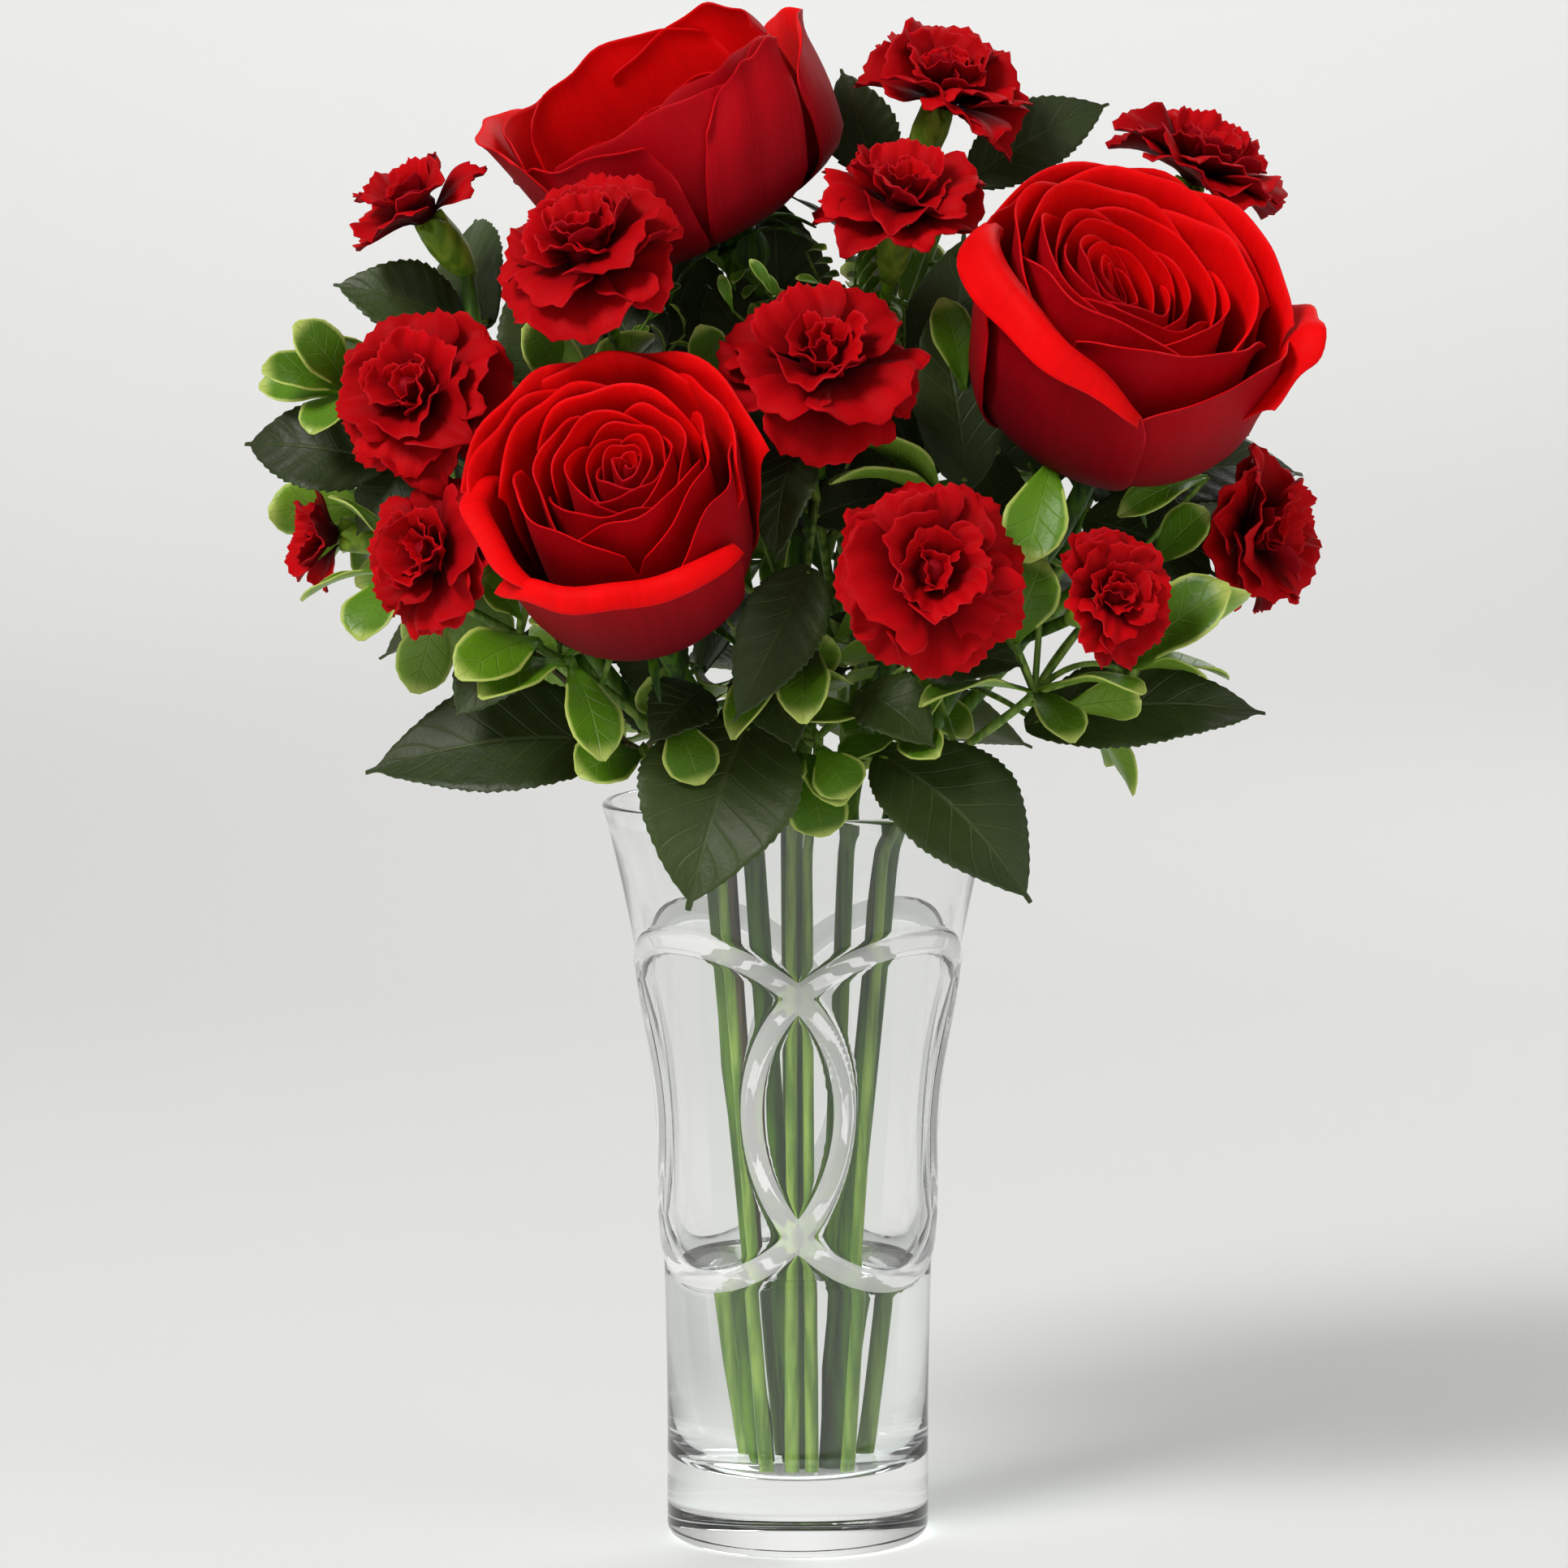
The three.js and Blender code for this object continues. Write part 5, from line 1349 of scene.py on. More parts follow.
toothedStems = {
    "low": {
        "foot": ("second", -6.5), "rim": -17.6, "top": (-42, -32, 205), "facing": (-0.8, -0.5, 0.5),
        "leaves": [((-43, -33, 206), (-107, -34, 200), 32, (0, -0.8, 0.6))],
    },
    "left": {
        "foot": ("fourth", -7), "rim": -22.5, "top": (-80, 6, 306), "facing": (-0.6, 0, 0.8),
        "leaves": [
            ((-102, -20, 274), (-138, -12, 279), 24, (0, -0.9, 0.4)),
            ((-84, 4, 308), (-116, 2, 318), 20, (0, -0.9, 0.4)),
            ((-62, 30, 232), (-108, 46, 222), 30, (-0.3, 0.4, 0.8)),
        ],
    },
    "front": {
        "foot": ("front", 3), "rim": 2.2, "top": (5, -42, 208), "facing": (0, -0.6, 0.8),
        "leaves": [
            ((-12, -47, 212), (-27, -72, 170), 40, (-0.1, -0.8, 0.5)),
            ((20, -43, 204), (57, -62, 171), 34, (0.3, -0.8, 0.5)),
        ],
    },
    "centre": {
        "foot": ("fifth", 5.8), "rim": 12.5, "top": (2, -46, 282), "facing": (-0.1, -0.6, 0.8),
        "leaves": [
            ((0, -52, 281), (-6, -70, 254), 17, (-0.3, -0.8, 0.5)),
            ((3, -60, 251), (-15, -78, 216), 20, (0.1, -0.9, 0.3)),
        ],
    },
    "right": {
        "foot": ("fifth", 11.5), "rim": 22.5, "top": (84, 6, 262), "facing": (0.7, 0.1, 0.7),
        "leaves": [
            ((56, -35, 210), (116, -27, 214), 25, (0, -0.8, 0.6)),
            ((78, -8, 266), (127, -5, 284), 27, (0, -0.7, 0.7)),
            ((88, 10, 260), (114, 20, 280), 22, (0, -0.7, 0.7)),
        ],
    },
    "back": {
        "foot": ("back", -1.5), "rim": -3, "top": (38, 26, 338), "facing": (0.3, 0.1, 0.95),
        "leaves": [
            ((43, 16, 343), (77, 13, 365), 20, (0, -0.9, 0.4)),
            ((20, 26, 344), (11, 24, 371), 18, (0, -1, 0.1)),
            ((8, 50, 214), (12, 92, 196), 38, (0, 0.5, 0.8)),
            ((-24, 52, 240), (-44, 90, 236), 30, (0, 0.6, 0.8)),
            ((46, 36, 230), (92, 60, 222), 30, (0.2, 0.4, 0.8)),
        ],
    },
}
glossyLeaf = {
    "rows": 13, "across": 7, "thickness": 0.45, "length": 27, "width": 12.5, "fold": 0.12, "bow": 0.12,
    "kinds": 5, "stalk": 1.0, "stalkEnd": 0.8, "wave": 0.5, "sway": 1.2,
}
glossyStem = {"radius": 1.6, "narrowing": 0.7, "joints": 0.1, "spacing": 25, "sides": 10}
glossyWhorl = {
    "spread": 55, "rise": 12, "routeSteps": 6, "wide": (12.5, 15.5), "face": (0, 0, 0.6),
    "bud": [(0, -2), (1.6, -1.4), (2.0, 0), (1.3, 1.6), (0, 3.2)], "budSides": 12,
}
glossyStems = {
    "low": {
        "foot": ("front", -6.6), "rim": -20, "top": (-98, -36, 248), "facing": (-0.8, -0.1, 0.5),
        "whorls": [
            ((-38, -44, 204), [(-54, -60, 200)], 0),
            ((-56, -44, 226), [(-92, -62, 227), (-77, -70, 219), (-48, -68, 204)], 0),
            ((-98, -36, 248), [(-106, -52, 232), (-122, -34, 240), (-116, -34, 266)], 0),
            ((-52, -24, 290), [(-70, -38, 312), (-36, -34, 306)], 0),
        ],
    },
    "left": {
        "foot": ("fifth", -8.5), "rim": -23.5, "top": (-106, 0, 290), "facing": (-0.3, 0, 0.95),
        "whorls": [
            ((-106, 0, 290), [(-118, -22, 304), (-124, 14, 300)], 1), ((-66, 26, 262), [(-84, 44, 280)], 2),
        ],
    },
    "front": {
        "foot": ("front", -1.2), "rim": -1.9, "top": (2, -50, 232), "facing": (0, -0.7, 0.7),
        "whorls": [
            ((2, -50, 232), [(-17, -74, 214), (1, -80, 214), (28, -78, 211)], 0),
            ((1, -40, 204), [(10, -58, 192), (-8, -60, 194)], 0),
        ],
    },
    "right": {
        "foot": ("front", 10.6), "rim": 21.5, "top": (58, -42, 219), "facing": (0.5, -0.4, 0.6),
        "whorls": [
            ((58, -42, 219), [(30, -60, 216), (84, -58, 219), (66, -64, 208)], 0),
            ((82, -38, 224), [(110, -50, 243), (100, -44, 222)], 1),
            ((36, -38, 266), [(15, -54, 280), (57, -68, 292), (50, -60, 250), (8, -58, 270)], 0),
        ],
    },
    "back": {
        "foot": ("back", 5.6), "rim": 12.4, "top": (30, 40, 300), "facing": (0.3, 0.4, 0.85),
        "whorls": [
            ((30, 40, 300), [(34, 52, 326)], 2), ((64, 40, 268), [(88, 52, 280)], 2),
            ((-30, 40, 268), [(-44, 60, 286)], 1), ((-16, 34, 318), [(-26, 44, 344)], 1),
        ],
    },
}


def leafFrame(root, tip, face, swing, lift):
    along = unit(tip - root)
    across = unit(np.cross(face, along))
    out = unit(np.cross(along, across))
    along = turned(turned(along, out, swing), across, -lift)
    across = turned(across, out, swing)
    return {"along": along, "across": across, "out": unit(np.cross(along, across)),
            "length": np.linalg.norm(tip - root)}


def solidTree(node):
    mesh = frame["nodes"][node].data
    return BVHTree.FromPolygons([v.co for v in mesh.vertices], [tuple(p.vertices) for p in mesh.polygons])


def leafOnSolid(solid, root, tip, face, rise):  # the turn at which the solid has this leaf
    for swing, lift in leafTurns:
        axes = leafFrame(root, tip, face, swing, lift)
        spots = [root + axes["along"] * axes["length"] * t + axes["out"] * rise(t, axes["length"])
                 for t in onSolid["spots"]]
        if all(solid.find_nearest(Vector(spot) * mm)[3] < onSolid["within"] * mm for spot in spots):
            return axes
    return None


def nearestOn(route, place):
    return route[np.argmin(np.linalg.norm(route - place, axis=1))]


def stalkRoute(route, root, bend=(0, 0, 0)):
    lower = root - np.array([0, 0, stalkForm["drop"] * np.linalg.norm(root - nearestOn(route, root))])
    start = nearestOn(route, lower)
    middle = (start + root) / 2 + np.array([0, 0, stalkForm["lift"] * np.linalg.norm(root - start)]) + bend
    t = np.linspace(0, 1, stalkForm["steps"])[:, None]
    return start * (1 - t) ** 2 + 2 * middle * t * (1 - t) + root * t * t


def stemLines(stems, form):  # each stem's route, and the lines that grow from it
    routes = {name: stemRoute(stem["foot"], stem["rim"], stem["top"], stem["facing"])
              for name, stem in stems.items()}
    last = form["radius"] * form["narrowing"]
    lines = {name: [(route, taper(route, form["radius"], last, form["joints"], form["spacing"], k))]
             for k, (name, route) in enumerate(routes.items())}
    return routes, lines


def stationsAlong(route, fill):  # points up a stem, one step after another
    lengths = lengthsAlong(route)
    first = np.interp(fill["from"], route[:, 2], lengths)
    for k, at in enumerate(np.arange(first, lengths[-1] + 1, fill["step"])):
        yield k, placeAlong(route, lengths, at)


# Room among the flowers: a leaf that the frame doesn't have grows only where it touches nothing

room = {"gap": 0.8, "stalkGap": 0.25, "overBox": 4, "steps": (0.2, 0.36, 0.52, 0.68, 0.84, 1)}
stalkBends = [
    (0, 0, 0), (5, 0, 0), (-5, 0, 0), (0, -5, 0), (0, 5, 0), (7, -7, 0), (-7, -7, 0), (0, 0, 7), (0, 0, -7),
    (11, 0, 0), (-11, 0, 0), (0, -11, 0), (0, 11, 0),
]


def obstacle(points, faces, bloom=False):
    return {"low": points.min(axis=0), "high": points.max(axis=0), "bloom": bloom,
            "tree": BVHTree.FromPolygons(points.tolist(), faces)}


def obstacleFrom(mesh, bloom=False):
    points = np.empty(len(mesh.vertices) * 3)
    mesh.vertices.foreach_get("co", points)
    return obstacle(points.reshape(-1, 3), [tuple(face.vertices) for face in mesh.polygons], bloom)


def beside(taken, points, gap):
    low, high = points.min(axis=0) - gap, points.max(axis=0) + gap
    return [thing for thing in taken if (thing["low"] <= high).all() and (thing["high"] >= low).all()]


def isFree(taken, points, gap):  # points and gap in metres
    return all(thing["tree"].find_nearest(Vector(point), gap)[0] is None
               for thing in beside(taken, points, gap) for point in points)


def bladeSpots(root, axes, width, shape):
    t = np.array(room["steps"])[:, None, None]
    u = np.array([-1, 0, 1])[None, :, None]
    wide = width * shape["outline"](t)
    return (root + axes["along"] * axes["length"] * t + axes["across"] * u * wide / 2
            + axes["out"] * (shape["rise"](t, axes["length"]) + shape["fold"] * wide * abs(u)))


def placeBlade(taken, root, tip, face, width, shape, turns=leafTurns):
    starts = [3 * i + j for i in range(len(room["steps"]) - 1) for j in range(2)]
    faces = [(k, k + 1, k + 4, k + 3) for k in starts]
    low, high = (np.array(corner) for corner in cadBounds)
    for swing, lift in turns:
        axes = leafFrame(root, tip, face, swing, lift)
        points = bladeSpots(root, axes, width, shape).reshape(-1, 3) * mm
        over = room["overBox"] * mm
        if (points < low - over).any() or (points > high + over).any():
            continue
        if isFree(taken, points, room["gap"] * mm):
            blade = obstacle(points, faces)
            if not any(blade["tree"].overlap(thing["tree"]) for thing in beside(taken, points, 0)):
                taken.append(blade)
                return axes
    return None


def clearStalk(taken, route, root, radius):
    blooms = [thing for thing in taken if thing["bloom"]]
    for things in (taken, blooms):
        for bend in stalkBends:
            stalk = stalkRoute(route, root, np.array(bend, float))
            if isFree(things, stalk[3:-1] * mm, (radius + room["stalkGap"]) * mm):
                return stalk
    return None


def nearestStem(routes, place):
    return min(routes, key=lambda name: np.linalg.norm(routes[name] - place, axis=1).min())


def placeLeaf(taken, routes, root, tip, face, width, shape):  # its stem, root, axes and stalk
    root, tip = np.array(root, float), np.array(tip, float)
    name = nearestStem(routes, root)
    axes = placeBlade(taken, root, tip, face, width, shape)
    if axes is None:
        return None
    stalk = clearStalk(taken, routes[name], shape["stalkEnd"](root, axes), shape["stalk"])
    if stalk is None:
        taken.pop()
        return None
    return name, root, axes, stalk


# Toothed leaves

def toothedOutline(t):
    return np.maximum(np.sin(math.pi * np.minimum(0.992, 0.03 + t ** 0.85)), 0) ** 0.8


def toothedRise(t, length):
    return length * (toothedLeaf["arch"] * np.sin(math.pi * t) - toothedLeaf["droop"] * t * t)


def toothedGrid(root, axes, width, seed, size):
    rows, across = size
    length = axes["length"]
    teeth = max(10, round(length / toothedLeaf["toothStep"]))
    chance = [draw(seed * 17 + n) - 0.5 for n in range(4)]
    grid = np.zeros((rows, across, 3))
    for i, t in enumerate(np.linspace(0, 1, rows)):
        outline = max(toothedOutline(t), 0.05) * (1 - 0.35 * ease(0.9, 1, t))
        saw = (t * teeth) % 1 if 0.06 < t < 0.96 else 0.4
        tooth = toothedLeaf["toothSize"] * (saw - 0.45) * (0.4 + 0.6 * outline)
        wave = toothedLeaf["wave"] * math.sin(3 * math.pi * t + 6 * chance[0])
        for j, u in enumerate(np.linspace(-1, 1, across)):
            edge = abs(u) ** 6 * tooth * np.sign(u)
            quilt = toothedLeaf["quilt"] * math.sin(2 * math.pi * (8 * t - 1.9 * abs(u) ** 0.85))
            quilt *= abs(u) * (1 - abs(u)) * 4
            lift = (toothedRise(t, length) + toothedLeaf["fold"] * width * outline * abs(u) ** 1.2
                    + wave * abs(u) ** 2 * outline * (1 if u > 0 else -0.7) + quilt * outline)
            grid[i, j] = (root + axes["along"] * length * t
                          + axes["across"] * (u * width * outline / 2 + edge) + axes["out"] * lift)
    return grid


def inBlade(root, axes):  # where a stalk ends, a little way into the leaf
    return root + axes["along"] * 0.05 * axes["length"] + axes["out"] * 0.015 * axes["length"]


toothedShape = {
    "rise": toothedRise, "outline": toothedOutline, "fold": toothedLeaf["fold"],
    "stalk": toothedLeaf["stalk"], "stalkEnd": inBlade,
}
moreToothed = [  # leaves that stand behind the flowers: root, tip, width and the way they face
    ((42, -22, 268), (34, -14, 314), 22, (0.1, -0.9, 0.3)),
    ((30, -12, 276), (38, 2, 308), 20, (0, -0.9, 0.3)),
    ((71, -20, 260), (104, -22, 247), 25, (0.1, -0.8, 0.5)),
    ((64, -2, 275), (89, 6, 258), 22, (0.1, -0.8, 0.5)),
    ((-77, -15, 272), (-80, -14, 304), 22, (0, -0.9, 0.3)),
    ((-56, -8, 290), (-70, -2, 321), 26, (0, -0.9, 0.3)),
    ((-37, -10, 296), (-45, 6, 322), 22, (0, -0.9, 0.3)),
    ((-5, -4, 290), (-17, 6, 319), 24, (0, -0.9, 0.3)), ((3, -34, 261), (19, -24, 278), 17, (0, -0.9, 0.4)),
    ((-9, -44, 226), (5, -60, 206), 22, (0, -0.8, 0.6)),
    ((-67, -34, 231), (-84, -46, 214), 20, (0, -0.8, 0.6)),
    ((29, -44, 228), (50, -54, 214), 20, (0, -0.8, 0.6)),
    ((-94, -14, 276), (-108, -10, 255), 16, (0, -0.9, 0.4)),
    ((15, -46, 220), (33, -60, 208), 18, (0, -0.8, 0.6)),
    ((-23, -46, 220), (-36, -60, 209), 17, (0, -0.8, 0.6)),
    ((7, 2, 290), (16, 10, 321), 24, (0, -0.9, 0.3)), ((-22, 16, 296), (-32, 20, 335), 27, (0, -0.9, 0.2)),
    ((-4, 20, 298), (-6, 24, 340), 27, (0, -0.9, 0.2)), ((38, 12, 284), (42, 18, 330), 27, (0, -0.9, 0.2)),
    ((58, 14, 270), (66, 20, 312), 27, (0, -0.9, 0.2)),
    ((-48, 14, 280), (-54, 20, 322), 26, (0, -0.9, 0.2)),
    ((14, 20, 262), (22, 24, 302), 26, (0, -0.9, 0.2)),
    ((-24, 10, 252), (-30, 14, 290), 26, (0, -0.9, 0.2)), ((44, 8, 240), (52, 12, 276), 26, (0, -0.9, 0.2)),
]
leafFill = {
    "from": 196, "step": 9, "petiole": (7, 13), "long": (34, 52), "width": 0.56, "rise": (0, 0.9),
}


def toothedFill(routes):  # leaves one after another round each stem
    for s, route in enumerate(routes.values()):
        for k, start in stationsAlong(route, leafFill):
            side = sideways(goldenAngle * k + 2 * s)
            way = unit(side + np.array([0, 0, mix(*leafFill["rise"], draw(31 * s + k))]))
            root = start + way * mix(*leafFill["petiole"], draw(7 * s + 3 * k))
            length = mix(*leafFill["long"], draw(13 * s + 5 * k))
            face = np.array([0, 0, 0.8]) + 0.7 * unit(np.array([start[0], start[1] - 20, 0.1]))
            yield root, root + way * length, length * leafFill["width"], face


def makeToothedStems(materials, stemTree, taken):
    routes, lines = stemLines(toothedStems, toothedStem)
    leaves = {name: [] for name in routes}
    seed = 1

    def grow(name, root, axes, width, stalk, size):
        nonlocal seed
        grid = toothedGrid(root, axes, width, seed, toothedLeaf[size])
        leaves[name].append(sheetPart(grid, toothedLeaf["thickness"], draw(seed * 3)))
        radius = toothedLeaf["stalk"]
        lines[name].append((stalk, taper(stalk, radius, radius * toothedLeaf["stalkEnd"])))
        seed += 1

    for name, stem in toothedStems.items():
        solid = solidTree(f"toothed_leaves_{name}")
        for root, tip, width, face in stem["leaves"]:
            root, tip = np.array(root, float), np.array(tip, float)
            axes = leafOnSolid(solid, root, tip, face, toothedRise)
            if axes is None:
                print("toothed leaf", seed, "of", name, "isn't on its solid")
                continue
            grow(name, root, axes, width, stalkRoute(routes[name], inBlade(root, axes)), "grid")
    for root, tip, width, face in [*moreToothed, *toothedFill(routes)]:
        found = placeLeaf(taken, routes, root, tip, face, width, toothedShape)
        if found:
            name, root, axes, stalk = found
            grow(name, root, axes, width, stalk, "fillGrid")
    print("toothed leaves in all:", seed - 1)
    for name in routes:
        stemMaterial = materials["woodyStem" if name == "low" else "shootStem"]
        stems = sweep("woody", lines[name], stemTree, stemMaterial, toothedStem["sides"])
        blades = meshFrom("blades", leaves[name], materials["toothedLeaf"])
        piece = joinMeshes(f"toothedLeaves_{name}", [blades, stems])
        seat(piece, "toothed_leaf", f"toothed_leaves_{name}")
        print("toothed leaves", name, len(leaves[name]), "leaves", len(piece.data.polygons), "faces")


# Glossy leaves

def glossyOutline(t):
    return np.interp(t, [0, 0.12, 0.35, 0.62, 0.82, 0.94, 1], [0.13, 0.2, 0.62, 1.0, 0.9, 0.55, 0.16])


def glossyRise(t, length):
    return glossyLeaf["bow"] * length * np.sin(math.pi * t * 0.9)


def glossyGrid(kind):  # flat on XY at its usual size, from the root along Y, upper side up
    rows, across = glossyLeaf["rows"], glossyLeaf["across"]
    chance = [draw(kind * 23 + n) - 0.5 for n in range(5)]
    grid = np.zeros((rows, across, 3))
    for i, t in enumerate(np.linspace(0, 1, rows)):
        share = glossyOutline(t)
        wave = glossyLeaf["wave"] * math.sin(3.4 * math.pi * t + 7 * chance[0])
        sway = glossyLeaf["sway"] * chance[1] * math.sin(math.pi * t)
        for j, u in enumerate(np.linspace(-1, 1, across)):
            x = -u * glossyLeaf["width"] * share / 2 + sway
            y = glossyLeaf["length"] * t
            fold = glossyLeaf["fold"] * glossyLeaf["width"] * share * abs(u) ** 1.5
            z = glossyRise(t, glossyLeaf["length"]) + fold + wave * abs(u) ** 3 * (1 if u > 0 else -0.8)
            grid[i, j] = (x, y, z)
    return grid


glossyShape = {
    "rise": glossyRise, "outline": glossyOutline, "fold": glossyLeaf["fold"], "stalk": 0.85,
    "stalkEnd": lambda root, axes: root,
}
moreGlossy = [  # leaves listed one by one: root, tip and width
    ((-59, -30, 296), (-68, -40, 313), 15), ((-21, -30, 293), (-25, -40, 309), 11),
    ((31, -35, 262), (15, -50, 280), 17), ((62, -50, 277), (55, -62, 252), 16),
    ((80, -40, 224), (109, -48, 243), 18), ((-63, -48, 232), (-92, -60, 227), 16),
    ((53, -50, 232), (60, -58, 253), 16), ((101, -28, 271), (77, -44, 270), 9),
    ((5, -50, 206), (9, -56, 192), 14), ((3, -44, 200), (3, -46, 183), 15),
    ((41, -22, 292), (35, -24, 315), 11), ((-96, -40, 250), (-104, -48, 232), 12),
    ((-79, -20, 286), (-77, -30, 305), 13), ((87, -30, 249), (101, -34, 263), 13),
    ((-68, -48, 238), (-78, -56, 248), 11), ((-30, -52, 214), (-24, -62, 198), 14),
]
moreGlossyFace = (0, -0.75, 0.6)
shootFill = {  # each whorl: how far up the shoot, its leaves, and how far they spread in degrees
    "from": 200, "step": 11, "rise": (0.1, 1.2), "long": (20, 40), "thick": 0.85, "fewest": 2,
    "whorls": ((1.0, 5, 42), (0.66, 3, 62), (0.36, 2, 70)), "leafLong": (18, 29), "leafWide": (10, 15),
}
leafletFill = {  # thin pale shoots with tiny leaves, in the gap between the three middle flowers
    "tips": [
        (-28, -26, 306), (-16, -30, 312), (-6, -34, 316), (6, -24, 318), (-40, -22, 308), (-12, -20, 322),
        (14, -22, 322), (24, -28, 322), (-22, -34, 300), (2, -18, 326), (-34, -14, 314), (18, -14, 330),
    ],
    "thick": 0.45, "fewest": 1, "whorls": [(share, 1, 60) for share in np.linspace(0.3, 1, 8)],
    "leafLong": (7, 11), "leafWide": (3.2, 3.2),
}
shootTurns = leafTurns[:5]
wholeTurn = 6.28


def shootTips(routes):  # side shoots one after another round each stem
    for s, (name, route) in enumerate(routes.items()):
        for k, start in stationsAlong(route, shootFill):
            side = sideways(goldenAngle * k + 1.3 * s)
            way = unit(side + np.array([0, 0, mix(*shootFill["rise"], draw(17 * s + k))]))
            yield name, start + way * mix(*shootFill["long"], draw(23 * s + 7 * k))


def leafCount(plant):
    return sum(len(leaves) for leaves in plant["leaves"].values())


def addGlossyLeaf(plant, name, root, axes, width):  # its place, turn, size and kind
    basis = Matrix(np.column_stack([-axes["across"], axes["along"], axes["out"]]).tolist())
    size = axes["length"] / glossyLeaf["length"]
    kind = leafCount(plant) % glossyLeaf["kinds"]
    plant["leaves"][name].append((root, basis.to_euler(), (width / glossyLeaf["width"], size, size), kind))


def addStalk(plant, name, stalk, radius):
    plant["lines"][name].append((stalk, taper(stalk, radius, radius * glossyLeaf["stalkEnd"])))


def addWhorls(plant, number, name, stem):  # the whorls that the solids have
    solid = solidTree(f"glossy_leaves_{name}")
    coarse = stemRoute(stem["foot"], stem["rim"], stem["top"], stem["facing"], glossyWhorl["routeSteps"])
    coarse = coarse[stemBend["straightSteps"]:]
    for w, (at, tips, extra) in enumerate(stem["whorls"]):
        middle = np.array(at, float)
        stalk = stalkRoute(plant["routes"][name], middle)
        if np.linalg.norm(stalk[0] - middle) > 1:
            addStalk(plant, name, stalk, glossyLeaf["stalk"])
        axis = unit(middle - nearestOn(coarse, middle) + np.array([0, 0, glossyWhorl["rise"]]))
        spots = [np.array(tip, float) for tip in tips]
        for k in range(extra):
            around = goldenAngle * k + 2 * math.pi * draw(number * 50 + w * 7)
            spots.append(middle + glossyLeaf["length"] * slanted(axis, around, glossyWhorl["spread"]))
        plant["buds"][name].append(middle)
        for tip in spots:
            axes = leafOnSolid(solid, middle, tip, axis + np.array(glossyWhorl["face"]), glossyRise)
            if axes is not None:
                width = mix(*glossyWhorl["wide"], draw(leafCount(plant) * 11 + 2))
                addGlossyLeaf(plant, name, middle, axes, width)


def addShoot(plant, taken, name, tip, form):  # a shoot with those of its leaves that touch nothing
    stalk = clearStalk(taken, plant["routes"][name], tip, form["thick"])
    if stalk is None:
        return
    count, before, found = leafCount(plant), len(taken), []
    axis = unit(stalk[-1] - stalk[-3])
    face = axis + np.array(glossyWhorl["face"])
    for share, leaves, spread in form["whorls"]:
        middle = placeAlong(stalk, range(len(stalk)), share * (len(stalk) - 1))
        for k in range(leaves):
            around = goldenAngle * k + wholeTurn * draw(count * 3 + leaves)
            length = mix(*form["leafLong"], draw(count * 5 + k))
            width = mix(*form["leafWide"], draw(count * 7 + k))
            end = middle + slanted(axis, around, spread) * length
            axes = placeBlade(taken, middle, end, face, width, glossyShape, shootTurns)
            if axes is not None:
                found.append((middle, axes, width))
    if len(found) < form["fewest"]:
        del taken[before:]
        return
    for middle, axes, width in found:
        addGlossyLeaf(plant, name, middle, axes, width)
    addStalk(plant, name, stalk, form["thick"])


def finishGlossyStem(plant, name, kinds, leafTree, stemTree, materials):
    leaves, shootMaterial = plant["leaves"][name], materials["shootStem"]
    points = bpy.data.meshes.new("whorls")
    points.from_pydata([tuple(place * mm) for place, *_ in leaves], [], [])
    picks = [pick for *_, pick in leaves]
    points.attributes.new("pick", "INT", "POINT").data.foreach_set("value", picks)
    for label, column in (("turn", 1), ("size", 2)):
        flat = np.array([tuple(leaf[column]) for leaf in leaves]).ravel()
        points.attributes.new(label, "FLOAT_VECTOR", "POINT").data.foreach_set("vector", flat)
    blades = runTree("leaves", leafTree, points, {"Leaves": kinds, "Material": materials["glossyLeaf"]})
    shoots = sweep("shoot", plant["lines"][name], stemTree, shootMaterial, glossyStem["sides"])
    bud = turnedPart(glossyWhorl["bud"], glossyWhorl["budSides"])
    buds = [movedPart(bud, Matrix.Translation(Vector(place) * mm)) for place in plant["buds"][name]]
    piece = joinMeshes(f"glossyLeaves_{name}", [blades, shoots, meshFrom("buds", buds, shootMaterial)])
    seat(piece, "glossy_leaf", f"glossy_leaves_{name}")
    print("glossy leaves", name, len(leaves), "leaves", len(piece.data.polygons), "faces")


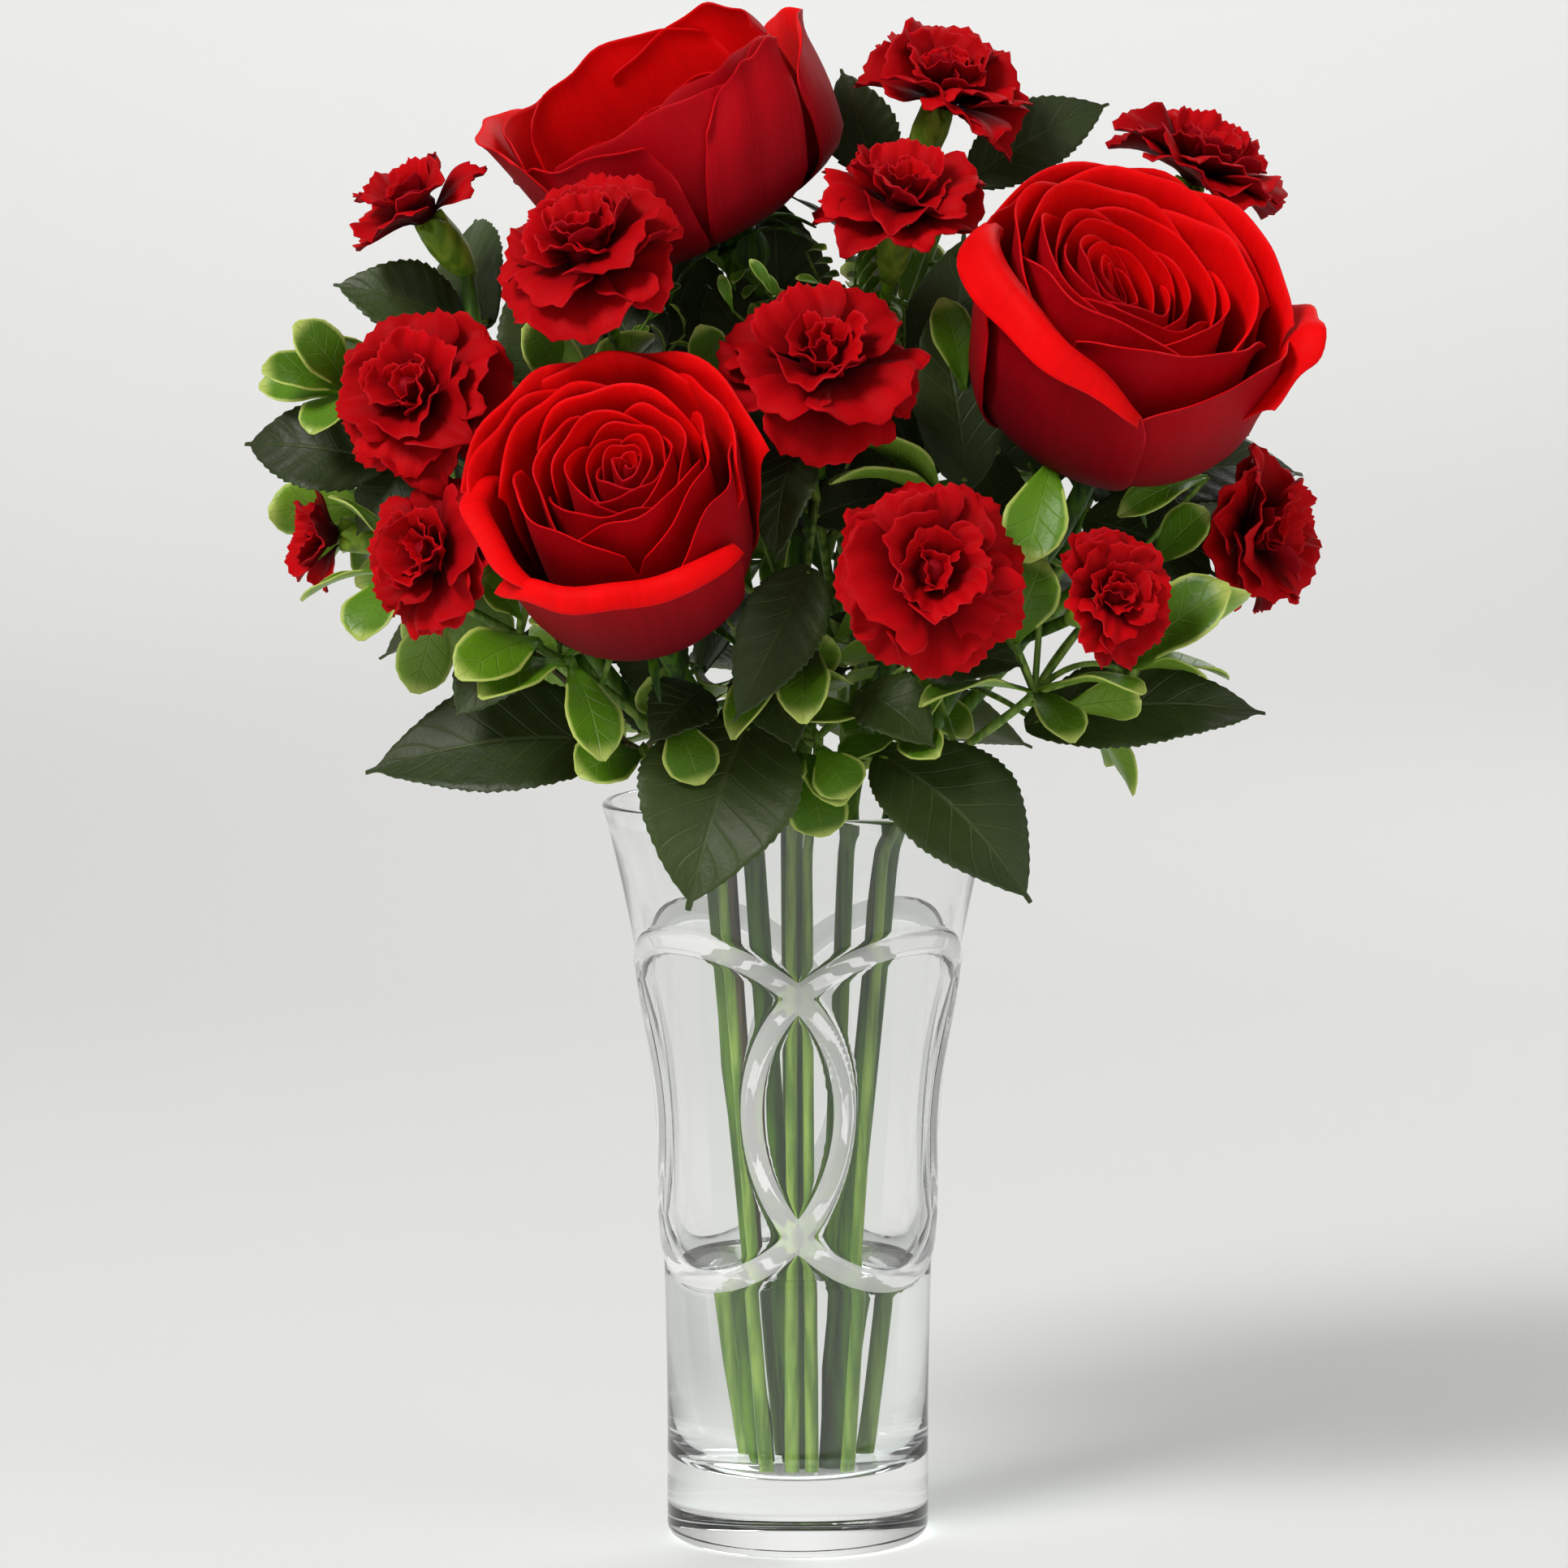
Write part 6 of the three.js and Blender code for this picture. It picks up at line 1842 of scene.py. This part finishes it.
def makeGlossyStems(materials, stemTree, leafTree, taken):
    parts = [sheetPart(glossyGrid(kind), glossyLeaf["thickness"], draw(kind * 7 + 3))
             for kind in range(glossyLeaf["kinds"])]
    kinds = makeKinds("leafKind", parts, materials["glossyLeaf"])
    routes, lines = stemLines(glossyStems, glossyStem)
    plant = {"routes": routes, "lines": lines, "leaves": {name: [] for name in routes},
             "buds": {name: [] for name in routes}}
    for number, (name, stem) in enumerate(glossyStems.items()):
        addWhorls(plant, number, name, stem)
    for root, tip, width in moreGlossy:
        found = placeLeaf(taken, routes, root, tip, moreGlossyFace, width, glossyShape)
        if found:
            name, root, axes, stalk = found
            addStalk(plant, name, stalk, shootFill["thick"])
            addGlossyLeaf(plant, name, root, axes, width)
    print("glossy leaves placed:", leafCount(plant))
    for name, tip in shootTips(routes):
        addShoot(plant, taken, name, tip, shootFill)
    print("glossy leaves with the shoots:", leafCount(plant))
    for tip in leafletFill["tips"]:
        tip = np.array(tip, float)
        addShoot(plant, taken, nearestStem(routes, tip), tip, leafletFill)
    print("glossy leaves in all:", leafCount(plant))
    for name in routes:
        finishGlossyStem(plant, name, kinds, leafTree, stemTree, materials)
    dropKinds(kinds)


def makeFloor():
    profile = [(0, 0), *[(floor["flat"] * t, 0) for t in (0.1, 0.4, 0.7, 1)]]
    for t in np.linspace(0, 1, floor["rings"])[1:]:
        profile.append((mix(floor["flat"], floor["edge"], math.sin(t * math.pi / 2)),
                        floor["height"] * (1 - math.cos(t * math.pi / 2))))
    angle = np.linspace(0, 2 * math.pi, floor["sides"], endpoint=False)
    points = [(r * math.cos(a), r * math.sin(a), z) for r, z in profile[1:] for a in angle]
    sides = floor["sides"]
    faces = []
    for i in range(len(profile) - 2):
        inner, outer = i * sides, (i + 1) * sides
        faces.extend((inner + k, outer + k, outer + (k + 1) % sides, inner + (k + 1) % sides)
                     for k in range(sides))
    points.append((0, 0, 0))
    faces.extend((len(points) - 1, k, (k + 1) % sides) for k in range(sides))
    mesh = bpy.data.meshes.new("floor")
    mesh.from_pydata(points, [], faces)
    mesh.polygons.foreach_set("use_smooth", [True] * len(mesh.polygons))
    mesh.materials.append(makeFloorMaterial())
    addObject("floor", mesh)


makeCamera()
makeLamps()
makeFloor()
materials = makeMaterials()
print("materials:", len(materials))
stemTree, leafTree, headTree = makeStemTree(), makeLeafTree(), makeHeadTree()
makeVase(materials)
makeWater(materials)
makeRoses(materials, stemTree)
makeCarnations(materials, headTree, stemTree)
taken = [obstacleFrom(thing.data, "roseBloom" in thing.name or "carnation_head" in thing.name)
         for thing in scene.collection.objects if thing.name.startswith(("clearVase", "rose", "carnation"))]
taken += [obstacleFrom(node.data) for name, node in frame["nodes"].items() if "_leaves_" in name]
print("obstacles:", len(taken))
makeToothedStems(materials, stemTree, taken)
makeGlossyStems(materials, stemTree, leafTree, taken)
